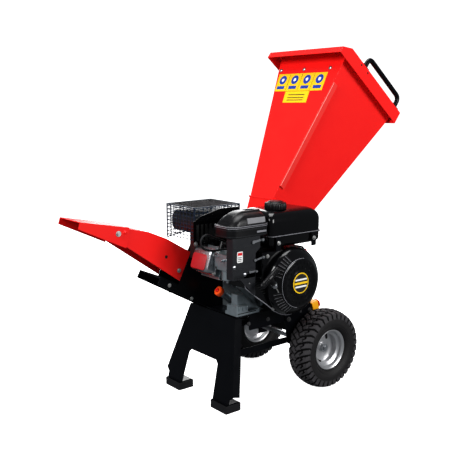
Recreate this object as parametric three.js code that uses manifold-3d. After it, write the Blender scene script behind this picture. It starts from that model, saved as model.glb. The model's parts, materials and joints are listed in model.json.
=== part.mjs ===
// Petrol wood chipper: a tilting cart with a leg stand at the front, two pneumatic wheels at the back,
// a horizontal-shaft engine that drives the chipping rotor directly, a feed hopper and a discharge chute.
// Millimetres, +Z up, +X from the leg stand towards the wheels, -Y the recoil starter side.
import * as THREE from 'three';
import { ConvexGeometry } from 'three/addons/geometries/ConvexGeometry.js';
import * as BufferGeometryUtils from 'three/addons/utils/BufferGeometryUtils.js';
import Module from 'manifold-3d';

const wasm = await Module();
wasm.setup();

// ---------------------------------------------------------------- driving dimensions
const GAP = 0.3;                  // clearance between pieces that touch
const RUN = 1.0;                  // clearance round a turning piece

// Wheels and axle
const TYRE_RADIUS = 130;
const TYRE_WIDTH = 84;
const TRACK = 354;                // between the two wheels' middle planes
const RIM_RADIUS = 60;
const RIM_WIDTH = 62;
const RIM_FLANGE = 6;             // height of the rim's edge above the bead seat
const HUB_RADIUS = 17;
const HUB_SPAN = [-35, -2];       // hub ends from the wheel's middle plane, outward positive
const DISC_INSET = 12;            // rim disc inside the middle plane at the hub
const AXLE_RADIUS = 8;
const AXLE_FIT = 0.3;             // radial clearance of the axle in wheels and plates
const NUT_RADIUS = 14;
const NUT_HEIGHT = 9;

// Frame
const SHEET = 4;                  // frame sheet thickness
const DECK_TOP = 280;
const DECK_FRONT_X = -321;
const DECK_BACK_X = -10;
const DECK_NEAR_Y = -125;
const SKIRT_DEPTH = 50;
const LEG_TOP_X = -325;
const LEG_LEAN = THREE.MathUtils.degToRad(14.3);
const LEG_TOP_HALF = 114;
const LEG_FOOT_HALF = 172;
const LEG_GAP_HALF = 75;          // half the clear width between the legs
const LEG_GAP_HEIGHT = 138;       // top of the gap above the ground
const LEG_FLANGE = 28;
const PAD_LENGTH = 57;
const PAD_WIDTH = 78;
const PAD_HEIGHT = 25;
const PAD_LIP = 4;                // wall round the recess that the foot plate sits in
const PAD_RECESS = 4;
const RAIL_HEIGHT = 20;
const RAIL_BOTTOM = 156;

// Engine: crank axis and main envelopes, measured from the crank axis
const CRANK_X = -173;
const SHAFT_HEIGHT = 106;         // crank axis above the engine's base
const PTO_Y = 21.7;               // mounting face towards the chamber
const SHAFT_RADIUS = 12.5;
const CASE_FRONT_Y = -108;
const CASE_WALL = 8;
const CYLINDER_TILT = THREE.MathUtils.degToRad(17.5);   // cylinder axis above the horizontal
const CYLINDER_Y = -55;
const BORE_RADIUS = 34;
const CYLINDER_FOOT = 84;         // along the cylinder axis from the crank
const HEAD_FOOT = 170;
const COVER_FOOT = 214;
const COVER_TOP = 252;
const FIN_PITCH = 10;
const FIN_HALF = 50;
const SHROUD_RADIUS = 108;
const SHROUD_FRONT_Y = -196;
const SHROUD_BACK_Y = DECK_NEAR_Y - 0.5;   // just in front of the deck's edge
const SHROUD_WALL = 2.5;
const FLYWHEEL_RADIUS = 88;
const RECOIL_RADIUS = 104;
const RECOIL_DEPTH = 44;
const REEL_RADIUS = 60;
const ROCK_CLEAR = 1.7;           // stop switch above the shroud, so that it can rock
const TANK_X = [-89, 124];
const TANK_Y = [-200, -45];
const TANK_Z = [109, 217];
const TANK_WALL = 2;
const TANK_SEAM_Z = 144;
const CAP_RADIUS = 34;
const CAP_HEIGHT = 25;
const CLEANER_X = [-240, -92];
const CLEANER_Y = [-205, -112];
const CLEANER_BASE_Z = 155;
const CLEANER_SPLIT_Z = 181;
const CLEANER_TOP_Z = 227;
const GUARD_X = [-239, -62];
const GUARD_Y = [-30, 120];
const GUARD_TOP_Z = 226;

// Chipping chamber round the crank axis
const CHAMBER_Y = [22, 140];
const DRUM_RADIUS = 140;
const BAND = 4;
const PLATE_LIP = 12;             // how far the side plates stand past the band
const FLOOR_SLOPE = THREE.MathUtils.degToRad(29);
const FLOOR_END_X = -327;
const FLOOR_LIP = 22;             // depth of the bar under the floor
const ROTOR_RADIUS = 120;
const ROTOR_CLEAR = 10;           // between the rotor and the side plates
const KNIFE_REACH = 12;

// Chute
const CHUTE_SHEET = 2;
const PIVOT = [-471, 167];        // deflector pivot, from the crank axis
const CHEEK_RADIUS = 15;

// Hopper, in a frame tilted so that local +Z is the mouth's normal
const HOPPER_ORIGIN = [20, 551];
const HOPPER_TILT = THREE.MathUtils.degToRad(38.6);
const HOPPER_SHEET = 2;
const OUTLET_HALF_X = 87;
const OUTLET_HALF_Y = 56.5;
const HOPPER_DEPTH = 533;
const MOUTH_X = [-202, 119.5];
const MOUTH_HALF_Y = 162.5;
const RIM_X = [-244, 134];
const RIM_HALF_Y = 177.5;
const RIM_TOP = 537;
const RIM_SKIRT = 47;
const RIM_BEVEL = [38, 24];       // the upper edge slopes down over this length and height
const HANDLE_RADIUS = 8.5;
const HANDLE_X = [-112, 99];
const HANDLE_REACH = 40;
const FLAP_LENGTH = 250;
const FLAP_THICKNESS = 4;
const FLAP_HALF = 138;

// ---------------------------------------------------------------- geometry helpers
const TURN = Math.PI * 2;

// Closed mesh to solid: only positions, shared vertices merged, faces pointing out.
function toSolid(geometry) {
  const bare = geometry.clone();
  for (const name of Object.keys(bare.attributes)) {
    if (name !== 'position') {
      bare.deleteAttribute(name);
    }
  }
  const merged = BufferGeometryUtils.mergeVertices(bare, 1e-4);
  const position = merged.attributes.position;
  const index = Array.from(merged.index.array);
  const a = new THREE.Vector3();
  const b = new THREE.Vector3();
  const c = new THREE.Vector3();
  const triangles = [];
  let volume = 0;
  for (let i = 0; i < index.length; i += 3) {
    const corner = index.slice(i, i + 3);
    if (corner[0] === corner[1] || corner[1] === corner[2] || corner[0] === corner[2]) {
      continue;
    }
    a.fromBufferAttribute(position, corner[0]);
    b.fromBufferAttribute(position, corner[1]);
    c.fromBufferAttribute(position, corner[2]);
    volume += a.dot(b.cross(c));
    triangles.push(corner);
  }
  const ordered = volume < 0 ? triangles.map((t) => [t[0], t[2], t[1]]) : triangles;
  return new wasm.Manifold(new wasm.Mesh({
    numProp: 3,
    vertProperties: new Float32Array(position.array),
    triVerts: new Uint32Array(ordered.flat()),
  }));
}

function fromSolid(solid) {
  const mesh = solid.getMesh();
  const geometry = new THREE.BufferGeometry();
  geometry.setAttribute('position', new THREE.BufferAttribute(new Float32Array(mesh.vertProperties), 3));
  geometry.setIndex(Array.from(mesh.triVerts));
  const flat = geometry.toNonIndexed();
  flat.computeVertexNormals();
  return flat;
}

function join(...geometries) {
  return fromSolid(geometries.map(toSolid).reduce((sum, next) => sum.add(next)));
}

function cut(geometry, ...tools) {
  return fromSolid(tools.map(toSolid).reduce((rest, tool) => rest.subtract(tool), toSolid(geometry)));
}

function block(x, y, z) {
  const geometry = new THREE.BoxGeometry(x[1] - x[0], y[1] - y[0], z[1] - z[0]);
  return geometry.translate((x[0] + x[1]) / 2, (y[0] + y[1]) / 2, (z[0] + z[1]) / 2);
}

function outline(points) {
  return new THREE.Shape(points.map(([a, b]) => new THREE.Vector2(a, b)));
}

// Outline given as [x, z], run along Y.
function prismY(points, y) {
  const geometry = new THREE.ExtrudeGeometry(outline(points), { depth: y[1] - y[0], bevelEnabled: false });
  return geometry.rotateX(Math.PI / 2).translate(0, y[1], 0);
}

// Outline given as [y, z], run along X.
function prismX(points, x) {
  const geometry = new THREE.ExtrudeGeometry(outline(points), { depth: x[1] - x[0], bevelEnabled: false });
  const basis = new THREE.Matrix4().makeBasis(
    new THREE.Vector3(0, 1, 0), new THREE.Vector3(0, 0, 1), new THREE.Vector3(1, 0, 0));
  return geometry.applyMatrix4(basis).translate(x[0], 0, 0);
}

// Outline given as [x, y], run along Z.
function prismZ(points, z) {
  const geometry = new THREE.ExtrudeGeometry(outline(points), { depth: z[1] - z[0], bevelEnabled: false });
  return geometry.translate(0, 0, z[0]);
}

function discY(x, z, radius, y, sides = 32) {
  const geometry = new THREE.CylinderGeometry(radius, radius, y[1] - y[0], sides);
  return geometry.translate(x, (y[0] + y[1]) / 2, z);
}

function discZ(x, y, radius, z, sides = 32) {
  const geometry = new THREE.CylinderGeometry(radius, radius, z[1] - z[0], sides);
  return geometry.rotateX(Math.PI / 2).translate(x, y, (z[0] + z[1]) / 2);
}

// Profile of [radius, y] turned round the Y axis; it closes on itself or on the axis.
function turnedY(profile, sides) {
  return new THREE.LatheGeometry(profile.map(([r, y]) => new THREE.Vector2(r, y)), sides);
}

function ringY(inner, outer, y, sides = 32) {
  return turnedY([[inner, y[0]], [outer, y[0]], [outer, y[1]], [inner, y[1]], [inner, y[0]]], sides);
}

// Rectangle [a0, a1] x [b0, b1] with rounded corners.
function roundedRect(a, b, radius, steps = 4) {
  const points = [];
  const centres = [
    [a[1] - radius, b[1] - radius, 0], [a[0] + radius, b[1] - radius, 1],
    [a[0] + radius, b[0] + radius, 2], [a[1] - radius, b[0] + radius, 3],
  ];
  for (const [ca, cb, quarter] of centres) {
    for (let i = 0; i <= steps; i += 1) {
      const angle = (quarter + i / steps) * Math.PI / 2;
      points.push([ca + radius * Math.cos(angle), cb + radius * Math.sin(angle)]);
    }
  }
  return points;
}

function arc(radius, from, to, steps) {
  const points = [];
  for (let i = 0; i <= steps; i += 1) {
    const angle = THREE.MathUtils.degToRad(from + (to - from) * i / steps);
    points.push([radius * Math.cos(angle), radius * Math.sin(angle)]);
  }
  return points;
}

// Crossing of two lines, each a point and a direction.
function crossing(p, d, q, e) {
  const t = ((q[0] - p[0]) * e[1] - (q[1] - p[1]) * e[0]) / (d[0] * e[1] - d[1] * e[0]);
  return [p[0] + d[0] * t, p[1] + d[1] * t];
}

// Closed outline with each edge moved inwards by its own distance (negative moves it out).
function inset(points, distances) {
  const n = points.length;
  let area = 0;
  for (let i = 0; i < n; i += 1) {
    const [ax, ay] = points[i];
    const [bx, by] = points[(i + 1) % n];
    area += ax * by - bx * ay;
  }
  const side = area > 0 ? 1 : -1;
  const lines = points.map((p, i) => {
    const q = points[(i + 1) % n];
    const length = Math.hypot(q[0] - p[0], q[1] - p[1]);
    const d = [(q[0] - p[0]) / length, (q[1] - p[1]) / length];
    const move = (Array.isArray(distances) ? distances[i] : distances) * side;
    return { point: [p[0] - d[1] * move, p[1] + d[0] * move], d };
  });
  return lines.map((line, i) => {
    const before = lines[(i + n - 1) % n];
    return crossing(before.point, before.d, line.point, line.d);
  });
}

// Open line moved to its left by a distance that may change along it, with mitred corners.
function moved(points, distance) {
  return points.map((p, i) => {
    const before = points[Math.max(i - 1, 0)];
    const after = points[Math.min(i + 1, points.length - 1)];
    const d1 = new THREE.Vector2(p[0] - before[0], p[1] - before[1]).normalize();
    const d2 = new THREE.Vector2(after[0] - p[0], after[1] - p[1]).normalize();
    const d = d1.clone().add(d2).normalize();
    const stretch = Math.max(d.dot(i === 0 ? d2 : d1), 0.5);
    const reach = (typeof distance === 'function' ? distance(i / (points.length - 1)) : distance) / stretch;
    return [p[0] - d.y * reach, p[1] + d.x * reach];
  });
}

// Strip between an open line and the same line moved to its left.
function strip(points, thickness) {
  return [...points, ...moved(points, thickness).reverse()];
}

// Round bar along a smooth curve through the given points.
function bar(points, radius, sides, steps, tension = 0.5) {
  const curve = new THREE.CatmullRomCurve3(
    points.map((p) => new THREE.Vector3(...p)), false, 'catmullrom', tension);
  const section = outline(arc(radius, 0, 360 - 360 / sides, sides - 1));
  return new THREE.ExtrudeGeometry(section, { steps, extrudePath: curve, bevelEnabled: false });
}

// Round bar through straight runs with rounded bends.
function bentBar(points, bend, radius, sides, bendSteps) {
  const corners = points.map((p) => new THREE.Vector3(...p));
  const samples = [corners[0]];
  for (let i = 1; i < corners.length - 1; i += 1) {
    const into = corners[i - 1].clone().sub(corners[i]).setLength(bend).add(corners[i]);
    const out = corners[i + 1].clone().sub(corners[i]).setLength(bend).add(corners[i]);
    const curve = new THREE.QuadraticBezierCurve3(into, corners[i], out);
    samples.push(...curve.getPoints(bendSteps));
  }
  samples.push(corners[corners.length - 1]);
  return sleeve(samples, radius, sides);
}

// Closed round bar whose rings stand square to the path at the given samples.
function sleeve(samples, radius, sides) {
  const rings = samples.map((p, i) => {
    const before = samples[Math.max(i - 1, 0)];
    const after = samples[Math.min(i + 1, samples.length - 1)];
    return { centre: p, along: after.clone().sub(before).normalize() };
  });
  const flatNormal = new THREE.Vector3()
    .crossVectors(rings[0].along, rings[Math.floor(rings.length / 2)].along);
  if (flatNormal.lengthSq() < 1e-6) {
    flatNormal.set(0, 1, 0);
  }
  flatNormal.normalize();
  const positions = [];
  const triangles = [];
  rings.forEach(({ centre, along }) => {
    const across = new THREE.Vector3().crossVectors(flatNormal, along).normalize();
    for (let k = 0; k < sides; k += 1) {
      const angle = TURN * k / sides;
      const p = centre.clone()
        .addScaledVector(flatNormal, radius * Math.cos(angle))
        .addScaledVector(across, radius * Math.sin(angle));
      positions.push(p.x, p.y, p.z);
    }
  });
  for (let i = 0; i < rings.length - 1; i += 1) {
    for (let k = 0; k < sides; k += 1) {
      const a = i * sides + k;
      const b = i * sides + (k + 1) % sides;
      triangles.push(a, b, a + sides, b, b + sides, a + sides);
    }
  }
  const last = (rings.length - 1) * sides;
  for (let k = 1; k < sides - 1; k += 1) {
    triangles.push(0, k + 1, k, last, last + k, last + k + 1);
  }
  const geometry = new THREE.BufferGeometry();
  geometry.setAttribute('position', new THREE.BufferAttribute(new Float32Array(positions), 3));
  geometry.setIndex(triangles);
  return geometry;
}

// ---------------------------------------------------------------- finishes
const FINISHES = {
  redPaint: { color: 0xe3211c, roughness: 0.35, metalness: 0.1 },
  blackPaint: { color: 0x16181a, roughness: 0.4, metalness: 0.1 },
  engineBlack: { color: 0x0d0e10, roughness: 0.25, metalness: 0.1 },
  castAlloy: { color: 0xa9b3b8, roughness: 0.45, metalness: 0.9 },
  steel: { color: 0xb9bcc0, roughness: 0.35, metalness: 1.0 },
  chrome: { color: 0xd6d9dc, roughness: 0.15, metalness: 1.0 },
  toolSteel: { color: 0x8b8f94, roughness: 0.4, metalness: 1.0 },
  tyre: { color: 0x25211f, roughness: 0.9, metalness: 0.0 },
  rubber: { color: 0x17181a, roughness: 0.85, metalness: 0.0 },
  blackPlastic: { color: 0x1b1c1f, roughness: 0.5, metalness: 0.0 },
  orangePlastic: { color: 0xf0560c, roughness: 0.45, metalness: 0.0 },
  redPlastic: { color: 0xd3161a, roughness: 0.4, metalness: 0.0 },
  yellowPlastic: { color: 0xf7ab0b, roughness: 0.5, metalness: 0.0 },
};

function piece(group, name, geometry, finish) {
  const mesh = new THREE.Mesh(geometry, new THREE.MeshStandardMaterial(FINISHES[finish]));
  mesh.name = name;
  group.add(mesh);
  return mesh;
}

// ---------------------------------------------------------------- wheels
// Hollow tyre whose beads sit on the rim's seats, inside its flanges.
function tyreGeometry() {
  const half = TYRE_WIDTH / 2;
  const bead = RIM_RADIUS + GAP;
  const lip = RIM_RADIUS + RIM_FLANGE + 0.6;
  const seat = RIM_WIDTH / 2 - 6.5;
  const tread = TYRE_RADIUS;
  const side = (s) => [
    [bead, s * seat], [lip, s * (seat + 3)], [lip + 8, s * (half - 6)], [lip + 22, s * half],
    [tread - 26, s * (half - 1)], [tread - 8, s * (half - 8)], [tread, s * (half - 20)],
  ];
  const lining = (s) => [
    [bead, s * (seat - 9)], [lip + 10, s * (half - 14)], [tread - 28, s * (half - 10)],
    [tread - 11, s * (half - 22)],
  ];
  return turnedY([
    ...side(1), ...side(-1).reverse(), ...lining(-1), ...lining(1).reverse(), side(1)[0],
  ], 30);
}

// Dished rim with a hub tube through its middle and one oblong valve slot in the dish.
function rimGeometry(outward) {
  const half = RIM_WIDTH / 2;
  const sheet = 2.5;
  const flange = RIM_RADIUS + RIM_FLANGE;
  const well = RIM_RADIUS - 9;
  const barrel = turnedY([
    [flange, -half], [flange, -half + sheet], [RIM_RADIUS, -half + 6], [RIM_RADIUS, -16], [well, -10],
    [well, 10], [RIM_RADIUS, 16], [RIM_RADIUS, half - 6], [flange, half - sheet], [flange, half],
    [RIM_RADIUS - sheet, half - 5], [well - sheet, 11], [well - sheet, -11],
    [RIM_RADIUS - sheet, -half + 5], [flange, -half],
  ], 30);
  const dish = turnedY([
    [HUB_RADIUS - 2, -DISC_INSET], [30, -DISC_INSET], [40, -10], [well - 1, -8], [well - 1, -8 + sheet],
    [40, -10 + sheet], [30, sheet - DISC_INSET], [HUB_RADIUS - 2, sheet - DISC_INSET],
    [HUB_RADIUS - 2, -DISC_INSET],
  ], 30);
  const hub = ringY(AXLE_RADIUS + AXLE_FIT, HUB_RADIUS, HUB_SPAN, 24);
  const slot = prismY(roundedRect([-5, 5], [26, 46], 4.9, 3), [-16, 14]);
  const rim = cut(join(barrel, dish, hub), slot);
  return rim.rotateZ(outward < 0 ? Math.PI : 0).rotateY(THREE.MathUtils.degToRad(28));
}

function buildWheel(name, outward) {
  const wheel = new THREE.Group();
  wheel.position.set(0, outward * TRACK / 2, TYRE_RADIUS);
  piece(wheel, `tyre_${name}`, fromSolid(toSolid(tyreGeometry())), 'tyre');
  piece(wheel, `rim_${name}`, rimGeometry(outward), 'chrome');
  const face = HUB_SPAN[1] + GAP;
  const hexagon = arc(NUT_RADIUS, 0, 300, 5);
  const hole = discY(0, 0, AXLE_RADIUS + AXLE_FIT, [-60, 60], 24);
  const nut = outward > 0
    ? prismY(hexagon, [face, face + NUT_HEIGHT])
    : prismY(hexagon, [-face - NUT_HEIGHT, -face]);
  piece(wheel, `axle_nut_${name}`, cut(nut, hole), 'steel');
  return wheel;
}

// ---------------------------------------------------------------- frame
const RAIL_OUT = -DECK_NEAR_Y;                        // outer face of both side rails
const AXLE_PLATE_Y = RAIL_OUT + GAP;
const AXLE_HALF = TRACK / 2 + HUB_SPAN[1] + NUT_HEIGHT + 4;

function legX(z) {
  return LEG_TOP_X - (DECK_TOP - SHEET - z) * Math.tan(LEG_LEAN);
}

function buildLegStand(frame) {
  const top = DECK_TOP - SHEET - GAP;
  const slope = Math.cos(LEG_LEAN);
  const foot = -(top - PAD_HEIGHT) / slope;
  const gapTop = -(top - LEG_GAP_HEIGHT) / slope;
  const chamfer = 10;
  const face = prismX([
    [-LEG_TOP_HALF, 0], [-LEG_FOOT_HALF, foot + 30], [-LEG_FOOT_HALF + 14, foot + 18],
    [-LEG_FOOT_HALF + 14, foot], [-LEG_GAP_HALF - 8, foot], [-LEG_GAP_HALF, gapTop - chamfer],
    [-LEG_GAP_HALF + chamfer, gapTop], [LEG_GAP_HALF - chamfer, gapTop], [LEG_GAP_HALF, gapTop - chamfer],
    [LEG_GAP_HALF + 8, foot], [LEG_FOOT_HALF - 14, foot], [LEG_FOOT_HALF - 14, foot + 18],
    [LEG_FOOT_HALF, foot + 30], [LEG_TOP_HALF, 0],
  ], [0, SHEET]);
  const parts = [face];
  for (const side of [-1, 1]) {
    parts.push(prismX([
      [side * LEG_TOP_HALF, 0], [side * LEG_FOOT_HALF, foot + 30],
      [side * (LEG_FOOT_HALF - SHEET), foot + 30], [side * (LEG_TOP_HALF - SHEET), 0],
    ], [0, LEG_FLANGE]));
  }
  parts.push(block([0, LEG_FLANGE + 12], [-LEG_TOP_HALF, CHAMBER_Y[0] - SHEET], [-SHEET, 0]));
  const leaning = join(...parts).rotateY(LEG_LEAN).translate(LEG_TOP_X, 0, top);
  const floor = PAD_HEIGHT - PAD_RECESS + GAP;
  const padX = legX(PAD_HEIGHT) - 8;
  const padOut = LEG_FOOT_HALF - 12;
  const ledge = PAD_LIP + GAP;
  const spans = [[-padOut, -padOut + PAD_WIDTH], [padOut - PAD_WIDTH, padOut]];
  const plates = spans.map((y) => block([padX + ledge, padX + PAD_LENGTH - ledge], [y[0] + ledge, y[1] - ledge],
    [floor, PAD_HEIGHT + GAP + 2]));
  const above = block([-600, 0], [-300, 300], [PAD_HEIGHT + GAP, DECK_TOP - SHEET - GAP]);
  const trimmed = fromSolid(toSolid(leaning).intersect(toSolid(above)));
  piece(frame, 'leg_stand', join(trimmed, ...plates), 'blackPaint');
  for (const [name, y] of [['near', spans[0]], ['far', spans[1]]]) {
    const pad = block([padX, padX + PAD_LENGTH], y, [0, PAD_HEIGHT]);
    const recess = block([padX + PAD_LIP, padX + PAD_LENGTH - PAD_LIP], [y[0] + PAD_LIP, y[1] - PAD_LIP],
      [PAD_HEIGHT - PAD_RECESS, PAD_HEIGHT + 5]);
    piece(frame, `foot_pad_${name}`, cut(pad, recess), 'rubber');
  }
}

function buildDeck(frame) {
  const farY = CHAMBER_Y[0] - SHEET;
  const plate = block([DECK_FRONT_X, DECK_BACK_X], [DECK_NEAR_Y, farY], [DECK_TOP - SHEET, DECK_TOP]);
  const skirtZ = [DECK_TOP - SKIRT_DEPTH, DECK_TOP - 1];
  const nearSkirt = block([DECK_FRONT_X + 45, DECK_BACK_X], [DECK_NEAR_Y, DECK_NEAR_Y + SHEET], skirtZ);
  const farSkirt = block([DECK_FRONT_X + 45, DECK_BACK_X], [farY - SHEET, farY], skirtZ);
  const cross = block([DECK_BACK_X - SHEET, DECK_BACK_X], [DECK_NEAR_Y, RAIL_OUT - SHEET],
    [RAIL_BOTTOM - 6, DECK_TOP - 1]);
  const railRoom = [-1, 1].map((side) => block([-40, 0],
    side < 0 ? [-RAIL_OUT - 1, -RAIL_OUT + RAIL_HEIGHT + GAP] : [RAIL_OUT - RAIL_HEIGHT - GAP, RAIL_OUT + 1],
    [RAIL_BOTTOM - 10, RAIL_BOTTOM + RAIL_HEIGHT + GAP]));
  piece(frame, 'engine_deck', cut(join(plate, nearSkirt, farSkirt, cross), ...railRoom), 'blackPaint');
}

// Angle-section rails from the leg stand back to the axle plates.
function buildRails(frame) {
  const front = legX(RAIL_BOTTOM + RAIL_HEIGHT) + SHEET + GAP + 1;
  const back = DECK_BACK_X + 8;
  for (const [name, side] of [['near', -1], ['far', 1]]) {
    const upright = side < 0 ? [-RAIL_OUT, -RAIL_OUT + SHEET] : [RAIL_OUT - SHEET, RAIL_OUT];
    const ledge = side < 0 ? [-RAIL_OUT, -RAIL_OUT + RAIL_HEIGHT] : [RAIL_OUT - RAIL_HEIGHT, RAIL_OUT];
    piece(frame, `side_rail_${name}`, join(
      block([front, back], upright, [RAIL_BOTTOM, RAIL_BOTTOM + RAIL_HEIGHT]),
      block([front, back], ledge, [RAIL_BOTTOM, RAIL_BOTTOM + SHEET])), 'blackPaint');
  }
}

function buildAxle(frame) {
  const hole = discY(0, TYRE_RADIUS, AXLE_RADIUS + AXLE_FIT, [-200, 200], 24);
  const low = TYRE_RADIUS - 25;
  const nearPlate = prismY([
    [-132, DECK_TOP - 8], [-34, DECK_TOP - 8], [38, 150], [28, low], [-28, low], [-118, RAIL_BOTTOM + 2],
  ], [-AXLE_PLATE_Y - SHEET, -AXLE_PLATE_Y]);
  const farPlate = prismY([
    [DECK_BACK_X - SHEET, DECK_TOP - 16], [14, DECK_TOP - 16], [28, 150], [24, low],
    [DECK_BACK_X - SHEET, low],
  ], [AXLE_PLATE_Y, AXLE_PLATE_Y + SHEET]);
  piece(frame, 'axle_plate_near', cut(nearPlate, hole), 'blackPaint');
  piece(frame, 'axle_plate_far', cut(farPlate, hole), 'blackPaint');
  const axle = new THREE.CylinderGeometry(AXLE_RADIUS, AXLE_RADIUS, 2 * AXLE_HALF, 24);
  piece(frame, 'axle', axle.translate(0, 0, TYRE_RADIUS), 'steel');
}

// Stop station behind the recoil starter: a leaning box with a mushroom button on its feed side.
function buildStopStation(frame) {
  const station = new THREE.Group();
  station.position.set(DECK_BACK_X + 23, -108, DECK_TOP - 30);
  station.rotation.y = THREE.MathUtils.degToRad(-17);
  const half = 14;
  const box = block([-half, half], [-20, 20], [-23, 23]);
  const well = new THREE.CylinderGeometry(7, 7, 20, 20).rotateZ(Math.PI / 2).translate(half, 0, 2);
  const foot = block([-half - 8, -half + 2], [-14, 14], [-23, -19]);
  piece(station, 'stop_box', cut(join(box, foot), well), 'yellowPlastic');
  const stem = new THREE.CylinderGeometry(6, 6, 14, 20).rotateZ(Math.PI / 2).translate(half + 1, 0, 2);
  const cap = new THREE.SphereGeometry(15, 20, 12).scale(0.5, 1, 1).translate(half + 11, 0, 2);
  const capBack = block([half, half + 7], [-20, 20], [-20, 24]);
  piece(station, 'stop_button', join(stem, cut(cap, capBack)), 'redPlastic');
  frame.add(station);
}

// ---------------------------------------------------------------- chipping chamber (round the crank axis)
const FLOOR_TANGENT = 270 - THREE.MathUtils.radToDeg(FLOOR_SLOPE);
const CHUTE_TOP = [-216, 81];
const CHUTE_LOW = [-259, -4];
const THROAT_LEFT = [101, 153];
const THROAT_RIGHT = [194, 36];
const THROAT_SEAT = 1.2;          // throat flange above the chamber's end edge

// Inner line of the upper band: from the chute, over the drum, up to the throat.
const UPPER_LINE = [CHUTE_TOP, ...arc(DRUM_RADIUS, 166, 52.3, 12), THROAT_LEFT];

// Inner line of the lower band: along the floor, under the drum, up to the throat.
function floorZ(x) {
  const [tx, tz] = arc(DRUM_RADIUS, FLOOR_TANGENT, FLOOR_TANGENT, 1)[0];
  return tz + (tx - x) * Math.tan(FLOOR_SLOPE);
}
const LOWER_LINE = [[FLOOR_END_X, floorZ(FLOOR_END_X)], ...arc(DRUM_RADIUS, FLOOR_TANGENT, 349.2, 12),
  THROAT_RIGHT];

// Line whose last run is cut short or carried on to the straight line that the throat stands on.
function upToThroat(line) {
  const [before, last] = line.slice(-2);
  const end = crossing(before, [last[0] - before[0], last[1] - before[1]],
    THROAT_LEFT, [THROAT_RIGHT[0] - THROAT_LEFT[0], THROAT_RIGHT[1] - THROAT_LEFT[1]]);
  return [...line.slice(0, -1), end];
}

function buildChamber(engine) {
  const upperOut = upToThroat(moved(UPPER_LINE, BAND + PLATE_LIP));
  const lowerOut = upToThroat(moved([...LOWER_LINE].reverse(),
    (t) => BAND + PLATE_LIP + (t > 0.5 ? (FLOOR_LIP - PLATE_LIP) * Math.min((t - 0.5) * 4, 1) : 0)).reverse());
  const plateOutline = [
    ...upperOut,
    ...lowerOut.reverse(),
    LOWER_LINE[0],
    [CHUTE_LOW[0] - 3, floorZ(CHUTE_LOW[0] - 3)],
    CHUTE_LOW,
  ];
  const bore = discY(0, 0, SHAFT_RADIUS + RUN, [-400, 400], 28);
  const [near, far] = CHAMBER_Y;
  piece(engine, 'chamber_plate_near', cut(prismY(plateOutline, [near, near + BAND]), bore), 'blackPaint');
  piece(engine, 'chamber_plate_far', cut(prismY(plateOutline, [far - BAND, far]), bore), 'blackPaint');
  const inside = [near + BAND + GAP, far - BAND - GAP];
  piece(engine, 'chamber_band_upper', prismY(strip(UPPER_LINE, BAND), inside), 'blackPaint');
  piece(engine, 'chamber_band_lower', prismY(strip([...LOWER_LINE].reverse(), BAND).reverse(), inside),
    'blackPaint');

  // Bed knife on the drum wall below the throat, its edge facing the rotor's knives.
  const bed = new THREE.Group();
  bed.rotation.y = THREE.MathUtils.degToRad(24);
  const edge = ROTOR_RADIUS + KNIFE_REACH / 3 + 2;
  piece(bed, 'bed_knife', block([edge, DRUM_RADIUS - 2.5], [inside[0] + 2, inside[1] - 2], [-6, 6]),
    'toolSteel');
  engine.add(bed);

  // Rotor drum keyed on the crankshaft, with two seats for knives.
  const rotorY = [near + BAND + ROTOR_CLEAR, far - BAND - ROTOR_CLEAR];
  const drum = discY(0, 0, ROTOR_RADIUS - 8, rotorY, 40);
  const seats = [0, 180].map((turn) => block([0, 14.3], rotorY.map((y, i) => y + (i ? 5 : -5)),
    [ROTOR_RADIUS - 48, ROTOR_RADIUS + 5]).rotateY(THREE.MathUtils.degToRad(turn)));
  const bores = discY(0, 0, SHAFT_RADIUS + GAP, [-400, 400], 28);
  const lightening = [];
  for (let i = 0; i < 4; i += 1) {
    const angle = THREE.MathUtils.degToRad(45 + 90 * i);
    lightening.push(discY(58 * Math.cos(angle), 58 * Math.sin(angle), 20, [-400, 400], 20));
  }
  piece(engine, 'rotor', cut(drum, bores, ...seats, ...lightening), 'steel');
  for (const [name, turn] of [['knife_1', 0], ['knife_2', 180]]) {
    const blade = prismY([
      [GAP, ROTOR_RADIUS - 47.6], [8, ROTOR_RADIUS - 47.6], [8, ROTOR_RADIUS - 8],
      [GAP, ROTOR_RADIUS + KNIFE_REACH / 3],
    ], [rotorY[0] + 1, rotorY[1] - 1]);
    piece(engine, name, blade.rotateY(THREE.MathUtils.degToRad(turn)), 'toolSteel');
  }
}

// ---------------------------------------------------------------- discharge chute (from the crank axis)
const SEAM_TOP = [-433, 178];
const SEAM_LOW = [-446, 122];
const TIP_TOP = [-589, 212];
const TIP_LOW = [-595, 193];

// Inverted channel: an outline run along Y, hollowed from below and through both ends.
function channel(points, y, sheet, openEdges) {
  const distances = points.map((_, i) => (openEdges.includes(i) ? -30 : sheet));
  return cut(prismY(points, y), prismY(inset(points, distances), [y[0] + sheet, y[1] - sheet]));
}

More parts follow.
